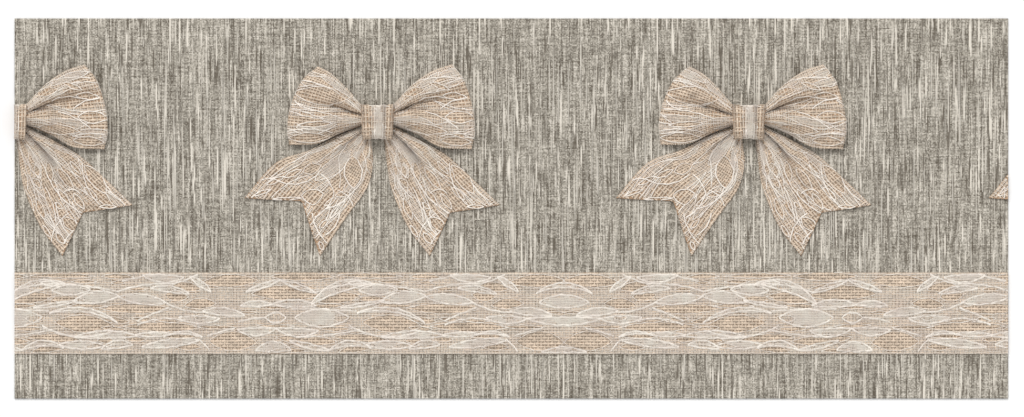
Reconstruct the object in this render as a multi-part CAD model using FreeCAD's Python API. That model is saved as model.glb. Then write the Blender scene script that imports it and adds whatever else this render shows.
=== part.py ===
"""Short decorative table runner: a slub-woven cloth with mitred hems, a jute band under lace, and jute and lace bows.

The runner lies flat. +X is along its length, +Y towards its back edge, +Z up from the table it rests on.
The origin is the centre of the underside. All sizes are in millimetres.
"""

import FreeCAD
import Part
import math
import os

Vec = FreeCAD.Vector

# Runner cloth, with its edges turned under once as a hem
RUNNER_LENGTH = 915.0
RUNNER_WIDTH = 350.0
CLOTH_THICKNESS = 0.7
HEM_WIDTH = 15.0
HEM_GAP = 0.1
HEM_FOLD = 0.9
EDGE_ROUND = 0.6
MITRE_SLIT = 0.4

# Sewing thread, let into the cloth it holds down
THREAD_WIDTH = 0.6
THREAD_HEIGHT = 0.25
HEM_STITCH_INSET = 12.5

# Jute band with its lace, along the front edge
BAND_WIDTH = 75.0
BAND_FROM_FRONT = 41.0
JUTE_THICKNESS = 1.1
LACE_THICKNESS = 0.4
BAND_STITCH_INSET = 2.0
BAND_END_STITCHES = 9
END_STITCH_LENGTH = 4.0

# Bows: the knots' places along the runner, and how far the knots stand from the back edge. The runner's ends
# cut across two more bows, whose knots' centres lie past the left end and past the right end.
LEFT_BOW_X = -125.2
RIGHT_BOW_X = 216.9
EDGE_BOW_PAST_END = 5.9
EDGE_TAIL_PAST_END = 102.5
BOW_FROM_BACK = 95.3

# Gaps between layers that only lie on each other, around the parts that lift, and beside the knot
LAYER_GAP = 0.05
LIFT_GAP = 0.3
ROOT_GAP = 1.5

# Knot: a strip wrapped round the gathered middle, with the binding thread between them
KNOT_LEFT = -12.5
KNOT_RIGHT = 16.0
KNOT_HALF_WIDTH = 15.5
KNOT_HALF_HEIGHT = 8.2
BINDING_THICKNESS = 1.0
BINDING_TURNS = 4
BINDING_PITCH = 1.5
BINDING_WIDTH = 1.1
TACK_LENGTH = 7.0
TACK_SPACING = 5.0
TACKS = 3

# Loops: height of the puffed top layer, and where its two layers enter the knot
LOOP_HEIGHT = 13.0
LOOP_PLEAT_DEPTH = 5.0
LOOP_ROOT_INSET = 0.5
LOOP_ROOT_TOP = 10.5
LOOP_ROOT_LOW = 5.0
LOOP_EDGE_DROP = 3.0

# Tails: pleats from the root that open out to a flat forked end
TAIL_PLEAT_HEIGHT = 4.5
TAIL_PLEATS = 1.5

BOWS = {
    "edge_bow": -RUNNER_LENGTH / 2.0 - EDGE_BOW_PAST_END,
    "left_bow": LEFT_BOW_X,
    "right_bow": RIGHT_BOW_X,
}
EDGE_TAIL_X = RUNNER_LENGTH / 2.0 + EDGE_TAIL_PAST_END
CLOTH_TOP = 2.0 * CLOTH_THICKNESS + HEM_GAP
BOW_Y = RUNNER_WIDTH / 2.0 - BOW_FROM_BACK
BAND_FRONT_Y = -RUNNER_WIDTH / 2.0 + BAND_FROM_FRONT
BAND_BACK_Y = BAND_FRONT_Y + BAND_WIDTH
KNOT_MID_Z = CLOTH_TOP + KNOT_HALF_HEIGHT + LACE_THICKNESS + 2.0 * LAYER_GAP
RIBBON_THICKNESS = JUTE_THICKNESS + LAYER_GAP + LACE_THICKNESS
LEFT_ROOT = KNOT_LEFT - ROOT_GAP
RIGHT_ROOT = KNOT_RIGHT + ROOT_GAP
LOOP_ROOT_BACK = KNOT_HALF_WIDTH - LOOP_ROOT_INSET
TAIL_ROOT_FRONT = -KNOT_HALF_WIDTH - 2.0 * ROOT_GAP - LIFT_GAP

# Outlines seen from above, measured from the knot's centre. Each edge runs from the knot outwards,
# and each end runs from the edge nearer the back of the runner to the one nearer the front.
LEFT_LOOP = {
    "back": [(LEFT_ROOT, LOOP_ROOT_BACK), (-27.0, 31.0), (-40.0, 44.0), (-52.0, 50.5)],
    "front": [(LEFT_ROOT, -0.5), (-35.0, -9.5), (-56.0, -17.5), (-78.5, -20.0)],
    "end": [(-52.0, 50.5), (-66.5, 38.0), (-76.0, 18.0), (-80.0, -2.0), (-78.5, -20.0)],
}
RIGHT_LOOP = {
    "back": [(RIGHT_ROOT, LOOP_ROOT_BACK), (33.0, 33.0), (52.0, 46.5), (69.5, 52.5)],
    "front": [(RIGHT_ROOT, -0.5), (40.0, -9.5), (62.0, -20.5), (87.5, -25.0)],
    "end": [(69.5, 52.5), (81.0, 37.0), (88.5, 13.0), (90.5, -8.0), (87.5, -25.0)],
}
LEFT_TAIL = {
    "back": [(LEFT_ROOT - 3.5, -9.0), (-38.0, -16.5), (-62.0, -27.0), (-92.0, -38.0), (-120.5, -70.0)],
    "front": [(-8.0, TAIL_ROOT_FRONT), (-2.5, -38.0), (-8.0, -61.0), (-27.0, -88.0), (-51.0, -123.5)],
    "notch": (-67.8, -73.0),
}
RIGHT_TAIL = {
    "back": [(RIGHT_ROOT + 3.5, -9.0), (42.0, -19.0), (65.0, -31.5), (91.0, -54.0), (114.5, -76.5)],
    "front": [(12.5, TAIL_ROOT_FRONT), (10.8, -38.0), (15.0, -62.0), (30.0, -97.0), (50.0, -123.5)],
    "notch": (69.0, -83.5),
}


def along(points, t):
    """The point at share t of a smooth line through points."""
    spans = len(points) - 1
    i = min(int(t * spans), spans - 1)
    f = t * spans - i
    p1, p2 = points[i], points[i + 1]
    p0 = points[i - 1] if i > 0 else [2 * a - b for a, b in zip(p1, p2)]
    p3 = points[i + 2] if i + 2 <= spans else [2 * b - a for a, b in zip(p1, p2)]
    return [
        0.5 * (2 * b + (c - a) * f + (2 * a - 5 * b + 4 * c - d) * f**2 + (3 * b - a - 3 * c + d) * f**3)
        for a, b, c, d in zip(p0, p1, p2, p3)
    ]


def inside(outline, u, v):
    """The place seen from above at share u from knot to end and share v from back edge to front edge."""
    back, front = along(outline["back"], u), along(outline["front"], u)
    root = along([outline["back"][0], outline["front"][0]], v)
    end = along(outline.get("end", [outline["back"][-1], outline["front"][-1]]), v)
    corners = [outline["back"][0], outline["front"][0], outline["back"][-1], outline["front"][-1]]
    return [
        (1 - v) * back[k] + v * front[k] + (1 - u) * root[k] + u * end[k]
        - (1 - u) * ((1 - v) * corners[0][k] + v * corners[1][k])
        - u * ((1 - v) * corners[2][k] + v * corners[3][k])
        for k in (0, 1)
    ]


# One turn of a loop: share of the way from knot to end, and share of the puffed height
LOOP_TURN = [(0.0, 0.0), (0.2, 0.45), (0.45, 0.9), (0.75, 1.0), (0.93, 0.8), (1.0, 0.45),
             (0.93, 0.1), (0.7, 0.0), (0.4, 0.05), (0.0, 0.0)]


def loop_surface(outline):
    """The inner face of a loop: the ribbon leaves the knot, turns over at the end and comes back below."""

    def place(s, v):
        u, puff = along(LOOP_TURN, s)
        u = min(max(u, 0.0), 1.0)
        x, y = inside(outline, u, v)
        top_share = 1.0 / (1.0 + math.exp(30.0 * (s - 0.55)))
        root = LOOP_ROOT_TOP if s < 0.5 else LOOP_ROOT_LOW
        low = LIFT_GAP + RIBBON_THICKNESS
        rise = low + LOOP_HEIGHT * puff
        z = root + (rise - root) * min(1.0, 2.5 * u) ** 0.8 if u < 0.4 else rise
        pleat = math.exp(-(((v - 0.5) / 0.16) ** 2)) * max(0.0, 1.0 - 1.3 * u)
        drop = LOOP_EDGE_DROP * (2.0 * v - 1.0) ** 2 * puff
        return Vec(x, y, z - top_share * (LOOP_PLEAT_DEPTH * pleat + drop))

    return place


def tail_surface(outline):
    """The underside of a tail: pleated at the knot and flat at its forked end."""

    def place(u, v):
        x, y = inside(outline, u, v)
        wave = 0.5 - 0.5 * math.cos(2.0 * math.pi * TAIL_PLEATS * v)
        swell = (0.45 + 3.0 * u) * (1.0 - u) ** 2
        return Vec(x, y, LIFT_GAP + TAIL_PLEAT_HEIGHT * wave * swell)

    return place


def normal(surface, a, b):
    """The unit normal of a surface at shares a and b, on its outer side."""
    step = 0.01
    a0, a1 = max(a - step, 0.0), min(a + step, 1.0)
    b0, b1 = max(b - step, 0.0), min(b + step, 1.0)
    return (surface(a, b1) - surface(a, b0)).cross(surface(a1, b) - surface(a0, b)).normalize()


def layer(surface, low, high, side, rows, columns):
    """A closed solid of cloth that follows a surface, from low to high off it on the given side."""

    def offset(distance):
        grid = []
        for i in range(rows + 1):
            line = []
            for j in range(columns + 1):
                a, b = i / rows, j / columns
                line.append(surface(a, b) + normal(surface, a, b) * (side * distance))
            grid.append(line)
        face = Part.BSplineSurface()
        face.interpolate(grid)
        return face

    lower, upper = offset(low), offset(high)
    faces = [lower.toShape(), upper.toShape()]
    u0, u1, v0, v1 = lower.bounds()
    p0, p1, q0, q1 = upper.bounds()
    for mine, other in ((u0, p0), (u1, p1)):
        faces.append(Part.makeRuledSurface(lower.uIso(mine).toShape(), upper.uIso(other).toShape()))
    for mine, other in ((v0, q0), (v1, q1)):
        faces.append(Part.makeRuledSurface(lower.vIso(mine).toShape(), upper.vIso(other).toShape()))
    shell = Part.makeShell(faces)
    shell.sewShape()
    solid = Part.makeSolid(shell)
    if solid.Volume < 0:
        solid.reverse()
    return solid


def box(x0, x1, y0, y1, z0, z1):
    """A block between two corners."""
    return Part.makeBox(x1 - x0, y1 - y0, z1 - z0, Vec(x0, y0, z0))


def save(name, shape):
    """Writes one node, after a check that it is made of sound solids."""
    if not shape.isValid() or not shape.Solids or shape.Volume <= 0:
        raise ValueError(name + " isn't a sound solid")
    if len(shape.Solids) == 1:
        shape = shape.Solids[0]
    shape.exportStep("parts/" + name + ".step")
    print("%-28s %2d solids %10.1f mm3" % (name, len(shape.Solids), shape.Volume))


def frame_rows(inset, z0, z1):
    """Four rows of thread round the runner, inset from its edges, that meet at the corners."""
    x, y, w = RUNNER_LENGTH / 2.0 - inset, RUNNER_WIDTH / 2.0 - inset, THREAD_WIDTH / 2.0
    outer = box(-x - w, x + w, -y - w, y + w, z0, z1)
    return outer.cut(box(-x + w, x - w, -y + w, y - w, z0, z1))


def make_cloth():
    """The runner cloth with its four mitred hems, and the thread that holds them."""
    x, y = RUNNER_LENGTH / 2.0, RUNNER_WIDTH / 2.0
    slab = box(-x, x, -y, y, 0.0, CLOTH_TOP)
    rim = [e for e in slab.Edges if abs(e.BoundBox.ZLength) < 1e-6]
    cloth = slab.makeFillet(EDGE_ROUND, rim)
    under = CLOTH_THICKNESS + HEM_GAP
    cloth = cloth.cut(box(-x + HEM_WIDTH, x - HEM_WIDTH, -y + HEM_WIDTH, y - HEM_WIDTH, -1.0, under))
    cloth = cloth.cut(box(-x + HEM_FOLD, x - HEM_FOLD, -y + HEM_FOLD, y - HEM_FOLD, CLOTH_THICKNESS, under))
    for side_x in (-1, 1):
        for side_y in (-1, 1):
            run = (HEM_WIDTH - HEM_FOLD) * math.sqrt(2.0) + 2.0
            slit = box(0.0, run, -MITRE_SLIT / 2.0, MITRE_SLIT / 2.0, -1.0, CLOTH_THICKNESS)
            angle = math.degrees(math.atan2(-side_y, -side_x))
            slit.rotate(Vec(0, 0, 0), Vec(0, 0, 1), angle)
            slit.translate(Vec(side_x * (x - HEM_FOLD), side_y * (y - HEM_FOLD), 0.0))
            cloth = cloth.cut(slit)
    face = frame_rows(HEM_STITCH_INSET, CLOTH_TOP - THREAD_HEIGHT, CLOTH_TOP)
    under_row = frame_rows(HEM_STITCH_INSET, 0.0, THREAD_HEIGHT)
    cloth = cloth.cut(face).cut(under_row)
    return cloth, Part.makeCompound([face, under_row])


def make_band():
    """The jute band, its lace, the stitch rows along both edges and the stitches at both ends."""
    x = RUNNER_LENGTH / 2.0
    jute_top = CLOTH_TOP + JUTE_THICKNESS
    lace_top = jute_top + LACE_THICKNESS
    jute = box(-x, x, BAND_FRONT_Y, BAND_BACK_Y, CLOTH_TOP, jute_top)
    lace = box(-x, x, BAND_FRONT_Y, BAND_BACK_Y, jute_top, lace_top)
    rows = []
    for y in (BAND_FRONT_Y + BAND_STITCH_INSET, BAND_BACK_Y - BAND_STITCH_INSET):
        half = THREAD_WIDTH / 2.0
        rows.append(box(-x, x, y - half, y + half, lace_top - THREAD_HEIGHT, lace_top))
    ends = []
    spacing = (BAND_WIDTH - 4.0 * BAND_STITCH_INSET) / (BAND_END_STITCHES - 1)
    for i in range(BAND_END_STITCHES):
        y = BAND_FRONT_Y + 2.0 * BAND_STITCH_INSET + i * spacing
        half = THREAD_WIDTH / 2.0
        for x0 in (-x, x - END_STITCH_LENGTH):
            ends.append(box(x0, x0 + END_STITCH_LENGTH, y - half, y + half, lace_top - THREAD_HEIGHT, lace_top))
    for thread in rows + ends:
        lace = lace.cut(thread)
    return jute, lace, Part.makeCompound(rows), Part.makeCompound(ends)


def ellipse_rod(x0, x1, half_width, half_height):
    """A rod of elliptical section along X, at the knot's height."""
    ring = Part.Ellipse(Vec(0, 0, 0), half_width, half_height).toShape()
    rod = Part.Face(Part.Wire([ring])).extrude(Vec(0, 0, x1 - x0))
    rod.rotate(Vec(0, 0, 0), Vec(0, 0, 1), 90.0)
    rod.rotate(Vec(0, 0, 0), Vec(0, 1, 0), 90.0)
    turned = rod.BoundBox
    rod.translate(Vec(x0 - turned.XMin, 0, KNOT_MID_Z))
    return rod


def ellipse_ring(x0, x1, half_width, half_height, thickness):
    """A band of that thickness around the knot's axis, with those half sizes inside."""
    outer = ellipse_rod(x0, x1, half_width + thickness, half_height + thickness)
    return outer.cut(ellipse_rod(x0, x1, half_width, half_height))


def knot_ends(x):
    """Where the knot at x starts and ends, measured from x: a knot at the runner's left end is cut flush with it."""
    return max(KNOT_LEFT, -RUNNER_LENGTH / 2.0 - x), KNOT_RIGHT


def make_knot(x):
    """The gathered middle, its binding thread, the wrapped strip and the strip's lace of the knot at x."""
    x0, x1 = knot_ends(x)
    wrap_in = (KNOT_HALF_WIDTH - JUTE_THICKNESS, KNOT_HALF_HEIGHT - JUTE_THICKNESS)
    binding_in = [size - LAYER_GAP - BINDING_THICKNESS for size in wrap_in]
    middle = ellipse_rod(x0, x1, binding_in[0] - LAYER_GAP, binding_in[1] - LAYER_GAP)
    turns = []
    first = (x0 + x1 - BINDING_WIDTH - BINDING_PITCH * (BINDING_TURNS - 1)) / 2.0
    for i in range(BINDING_TURNS):
        at = first + i * BINDING_PITCH
        turns.append(ellipse_ring(at, at + BINDING_WIDTH, *binding_in, BINDING_THICKNESS))
    wrap = ellipse_ring(x0, x1, *wrap_in, JUTE_THICKNESS)
    over = (KNOT_HALF_WIDTH + LAYER_GAP, KNOT_HALF_HEIGHT + LAYER_GAP)
    lace = ellipse_ring(x0, x1, *over, LACE_THICKNESS)
    return middle, Part.makeCompound(turns), wrap, lace


def stitches(x0, x1, middle_y, z0, z1, count):
    """Short threads side by side, from x0 to x1."""
    half = THREAD_WIDTH / 2.0
    places = [middle_y + (i - (count - 1) / 2.0) * TACK_SPACING for i in range(count)]
    return Part.makeCompound([box(x0, x1, y - half, y + half, z0, z1) for y in places])


def make_tacks(x):
    """Stitches on the underside of the cloth that hold the knot at x: in the hem's turning, or on the panel."""
    x0, x1 = knot_ends(x)
    middle = x + (x0 + x1) / 2.0
    over_hem = middle - TACK_LENGTH / 2.0 < -RUNNER_LENGTH / 2.0 + HEM_WIDTH
    top = THREAD_HEIGHT if over_hem else CLOTH_THICKNESS + HEM_GAP
    ends = (middle - TACK_LENGTH / 2.0, middle + TACK_LENGTH / 2.0)
    return stitches(*ends, BOW_Y, top - THREAD_HEIGHT, top, TACKS)


def ribbon(surface, outline, rows, columns):
    """The jute and the lace of one piece of ribbon, which lies to one side of its knot."""
    side = math.copysign(1.0, outline["back"][-1][0])
    jute = layer(surface, 0.0, JUTE_THICKNESS, side, rows, columns)
    lace = layer(surface, JUTE_THICKNESS + LAYER_GAP, RIBBON_THICKNESS, side, rows, columns)
    return [jute, lace]


def make_tail(outline):
    """A tail's jute and lace, with the forked end cut out."""
    tips = [Vec(*outline["back"][-1], 0.0), Vec(*outline["front"][-1], 0.0)]
    notch = Vec(*outline["notch"], 0.0)
    reach = [notch + (tip - notch) * 1.3 for tip in tips]
    beyond = (tips[0] + tips[1]) * 0.5 + ((tips[0] + tips[1]) * 0.5 - notch) * 3.0
    fork = Part.Face(Part.makePolygon([notch, reach[0], beyond, reach[1], notch])).extrude(Vec(0, 0, 40.0))
    fork.translate(Vec(0, 0, -10.0))
    return [part.cut(fork) for part in ribbon(tail_surface(outline), outline, 12, 16)]


def placed(shape, x, z=CLOTH_TOP):
    """A copy of a bow's piece at the bow's place on the runner."""
    copy = shape.copy()
    copy.translate(Vec(x, BOW_Y, z))
    return copy


def make_edge_tail(tail):
    """The end of a left tail that the runner's right edge cuts across, and the stitches that hold it there."""
    edge = RUNNER_LENGTH / 2.0
    kept = box(0.0, edge, -RUNNER_WIDTH / 2.0, RUNNER_WIDTH / 2.0, 0.0, BOW_FROM_BACK)
    jute, lace = [placed(part, EDGE_TAIL_X).common(kept) for part in tail]
    top = CLOTH_TOP + LIFT_GAP + RIBBON_THICKNESS
    cut = [f for f in lace.Faces if abs(f.BoundBox.XMin - edge) < 1e-3][0]
    threads = stitches(edge - END_STITCH_LENGTH, edge, cut.CenterOfMass.y, top - THREAD_HEIGHT, top, TACKS)
    return jute, lace.cut(threads), threads.common(lace)


def main():
    """Builds every node and writes it to parts/."""
    os.makedirs("parts", exist_ok=True)
    tacks = {bow: make_tacks(x) for bow, x in BOWS.items()}
    cloth, hem_thread = make_cloth()
    for threads in tacks.values():
        cloth = cloth.cut(threads)
    save("runner_cloth", cloth)
    save("hem_stitching", hem_thread)
    jute, lace, rows, ends = make_band()
    save("band_jute", jute)
    save("band_lace", lace)
    save("band_stitching", rows)
    save("band_end_stitching", ends)

    loops = {
        "left_loop": ribbon(loop_surface(LEFT_LOOP), LEFT_LOOP, 24, 12),
        "right_loop": ribbon(loop_surface(RIGHT_LOOP), RIGHT_LOOP, 24, 12),
    }
    tails = {"left_tail": make_tail(LEFT_TAIL), "right_tail": make_tail(RIGHT_TAIL)}
    for bow, x in BOWS.items():
        for piece, (jute, lace) in list(loops.items()) + list(tails.items()):
            if bow == "edge_bow" and piece.startswith("left"):
                continue
            save(bow + "_" + piece, placed(jute, x))
            save(bow + "_" + piece + "_lace", placed(lace, x))
        middle, binding, wrap, lace = make_knot(x)
        save(bow + "_gathered_middle", placed(middle, x, 0.0))
        save(bow + "_binding_thread", placed(binding, x, 0.0))
        save(bow + "_knot_wrap", placed(wrap, x, 0.0))
        save(bow + "_knot_lace", placed(lace, x, 0.0))
        save(bow + "_tack_stitches", tacks[bow])
    jute, lace, threads = make_edge_tail(tails["left_tail"])
    save("edge_tail", jute)
    save("edge_tail_lace", lace)
    save("edge_tail_stitches", threads)


main()
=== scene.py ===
"""Looks of a short table runner: slub cloth, with a jute and lace band along it and jute and lace bows.

Lengths in the settings are in metres. Outlines and lace shapes are in millimetres, from the middle of their
knot or of their band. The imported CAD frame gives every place.
"""

import math

import bmesh
import bpy
import numpy as np
from bpy.props import FloatProperty, FloatVectorProperty, IntProperty, PointerProperty
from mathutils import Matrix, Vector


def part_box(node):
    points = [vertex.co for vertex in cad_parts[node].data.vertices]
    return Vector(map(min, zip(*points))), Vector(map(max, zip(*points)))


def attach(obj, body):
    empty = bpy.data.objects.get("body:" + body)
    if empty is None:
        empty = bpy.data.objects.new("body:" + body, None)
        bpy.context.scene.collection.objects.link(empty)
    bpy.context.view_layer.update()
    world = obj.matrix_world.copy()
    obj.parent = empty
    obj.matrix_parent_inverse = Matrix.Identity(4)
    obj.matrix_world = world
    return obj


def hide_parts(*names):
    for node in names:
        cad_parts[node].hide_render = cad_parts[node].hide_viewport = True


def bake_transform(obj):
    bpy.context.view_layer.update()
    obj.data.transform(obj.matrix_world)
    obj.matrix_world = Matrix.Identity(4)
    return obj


bl_info = {
    "name": "Lace and Jute Table Runner",
    "version": (1, 0, 0),
    "blender": (4, 5, 0),
    "location": "3D View > Sidebar > Runner",
    "description": "Builds the cloth, band, bows, lace, stitches and studio of a short table runner",
    "category": "Object",
}

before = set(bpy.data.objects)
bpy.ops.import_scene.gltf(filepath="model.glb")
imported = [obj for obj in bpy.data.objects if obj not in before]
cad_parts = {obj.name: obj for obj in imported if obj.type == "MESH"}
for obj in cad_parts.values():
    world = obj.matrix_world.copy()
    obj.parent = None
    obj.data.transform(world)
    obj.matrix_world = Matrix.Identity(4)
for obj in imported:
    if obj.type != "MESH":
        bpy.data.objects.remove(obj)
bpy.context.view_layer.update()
MM = 0.001
CLOTH_LOW, CLOTH_HIGH = (np.array(corner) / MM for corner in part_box("runner_cloth"))
BAND_LOW, BAND_HIGH = (np.array(corner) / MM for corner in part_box("band_jute"))
CLOTH_TOP = float(CLOTH_HIGH[2])
CLOTH_LENGTH, CLOTH_WIDTH = (float(size) for size in (CLOTH_HIGH - CLOTH_LOW)[:2])
BAND_MIDDLE = float(BAND_LOW[1] + BAND_HIGH[1]) / 2.0
BAND_WIDTH = float(BAND_HIGH[1] - BAND_LOW[1])

# Layers of a ribbon, as heights off its underside
BASE_THICKNESS = 0.35
YARN_LIFT = 0.66
NET_LIFT = 1.22
CORD_LIFT = 1.34
# From the middle of a bow to the right side of its knot
KNOT_REACH = 16.0
# Length of the ribbon once round a knot, and how full its yarns and how open its net are on a bow
KNOT_TURN = 75.0
BOW_YARNS = 0.84
BOW_NET = 1.6
# Colour of the painted shade deep in a crease
CREASE_SHADE = (0.10, 0.058, 0.04)
KNOT_LOW, KNOT_HIGH = (np.array(corner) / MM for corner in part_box("left_bow_knot_wrap"))
BOW_Y, KNOT_MIDDLE = (float(size) for size in (KNOT_LOW + KNOT_HIGH)[1:] / 2.0)


# ---------------------------------------------------------------- Settings


class ClothSettings(bpy.types.PropertyGroup):
    """Sizes and colours of the slub cloth."""

    pale: FloatVectorProperty(name="Pale yarn", description="Colour of the palest slubs", subtype="COLOR",
                              default=(0.69, 0.64, 0.56), min=0.0, max=1.0)
    middle: FloatVectorProperty(name="Middle yarn", description="Colour of most of the yarn", subtype="COLOR",
                                default=(0.34, 0.31, 0.26), min=0.0, max=1.0)
    dark: FloatVectorProperty(name="Dark yarn", description="Colour of the darkest yarn", subtype="COLOR",
                              default=(0.12, 0.10, 0.075), min=0.0, max=1.0)
    hem: FloatProperty(name="Hem", description="Width of the turned-under hem", default=15.0 * MM,
                       unit="LENGTH")
    layer: FloatProperty(name="Layer", description="Thickness of one layer of the cloth", default=0.7 * MM,
                         unit="LENGTH")
    stitch_inset: FloatProperty(name="Stitch inset", description="From the edge to the hem's stitches",
                                default=12.5 * MM, unit="LENGTH")
    slubs: IntProperty(name="Slubs", description="Number of raised slub yarns", default=1500, min=0)
    seed: IntProperty(name="Seed", description="Seed of the slubs' places", default=7)


class RibbonSettings(bpy.types.PropertyGroup):
    """Weave and colours of the jute ribbon."""

    yarn: FloatVectorProperty(name="Jute", description="Colour of the jute yarn", subtype="COLOR",
                              default=(0.68, 0.55, 0.425), min=0.0, max=1.0)
    # Colour of the base between the yarns: painted shade in the weave's gaps
    shade: FloatVectorProperty(name="Painted jute shade", description="Colour between the yarns", subtype="COLOR",
                               default=(0.42, 0.28, 0.18), min=0.0, max=1.0)
    weft_pitch: FloatProperty(name="Weft pitch", description="Between yarns that run along", default=2.7 * MM,
                              unit="LENGTH")
    warp_pitch: FloatProperty(name="Warp pitch", description="Between yarns that run across",
                              default=3.25 * MM,
                              unit="LENGTH")
    width: FloatProperty(name="Ribbon width", description="Width of the flat ribbon", default=75.0 * MM,
                         unit="LENGTH")


class LaceSettings(bpy.types.PropertyGroup):
    """Threads and colours of the lace."""

    cord: FloatVectorProperty(name="Cord", description="Colour of the outlining cord", subtype="COLOR",
                              default=(0.96, 0.855, 0.77), min=0.0, max=1.0)
    net: FloatVectorProperty(name="Net", description="Colour of the net's fine thread", subtype="COLOR",
                             default=(1.0, 0.865, 0.765), min=0.0, max=1.0)
    net_pitch: FloatProperty(name="Net pitch", description="Between threads of the net", default=1.3 * MM,
                             unit="LENGTH")
    net_thread: FloatProperty(name="Net thread", description="Width of the net's thread", default=0.5 * MM,
                              unit="LENGTH")
    cord_width: FloatProperty(name="Cord width", description="Width of the outlining cord", default=1.0 * MM,
                              unit="LENGTH")


class StudioSettings(bpy.types.PropertyGroup):
    """Floor, light and camera."""

    floor: FloatVectorProperty(name="Floor", description="Colour of the floor", subtype="COLOR",
                               default=(0.95, 0.95, 0.95), min=0.0, max=1.0)
    key: FloatProperty(name="Key light", description="Strength of the soft sun from the back edge",
                       default=1.7)
    fill: FloatProperty(name="Fill light", description="Strength of the light from all round", default=0.72)
    view_width: FloatProperty(name="View width", description="Width that the camera sees", default=943.0 * MM,
                              unit="LENGTH")


# ---------------------------------------------------------------- Shape helpers


def along(points, t):
    """Points at shares t of a smooth line through points."""
    p = np.asarray(points, float)
    spans = len(p) - 1
    p = np.vstack([2 * p[0] - p[1], p, 2 * p[-1] - p[-2]])
    t = np.asarray(t, float)
    i = np.clip((t * spans).astype(int), 0, spans - 1)
    f = (t * spans - i)[..., None]
    a, b, c, d = (p[i + k] for k in range(4))
    return 0.5 * (2 * b + (c - a) * f + (2 * a - 5 * b + 4 * c - d) * f**2 + (3 * b - a - 3 * c + d) * f**3)


def folds(points, v):
    """Height at each v of a fold line through (place, height) points, with rounded tops and bottoms."""
    x, z = np.array(points, float).T
    i = np.clip(np.searchsorted(x, v) - 1, 0, len(x) - 2)
    f = np.clip((v - x[i]) / (x[i + 1] - x[i]), 0.0, 1.0)
    return z[i] + (z[i + 1] - z[i]) * (3 * f**2 - 2 * f**3)


def ripple(x, y, scale, seed):
    """Gentle unevenness from a few crossed waves, between about -1 and 1."""
    rng = np.random.RandomState(seed)
    total = np.zeros(np.broadcast(x, y).shape)
    for _ in range(6):
        angle, phase = rng.uniform(0, 2 * math.pi, 2)
        size = scale * rng.uniform(0.6, 1.6)
        total += np.sin((x * math.cos(angle) + y * math.sin(angle)) * 2 * math.pi / size + phase)
    return total / 3.5


def inside(outline, u, v):
    """Places seen from above at share u from knot to end and share v from back edge to front edge."""
    back, front = along(outline["back"], u), along(outline["front"], u)
    corners = [np.array(outline[edge][k], float) for edge in ("back", "front") for k in (0, -1)]
    end = along(outline.get("end", [corners[1], corners[3]]), v)
    u, v = u[..., None], v[..., None]
    root = corners[0] * (1 - v) + corners[2] * v
    flat = (1 - u) * root + u * ((1 - v) * corners[1] + v * corners[3])
    return (1 - v) * back + v * front + (1 - u) * root + u * end - flat


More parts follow.
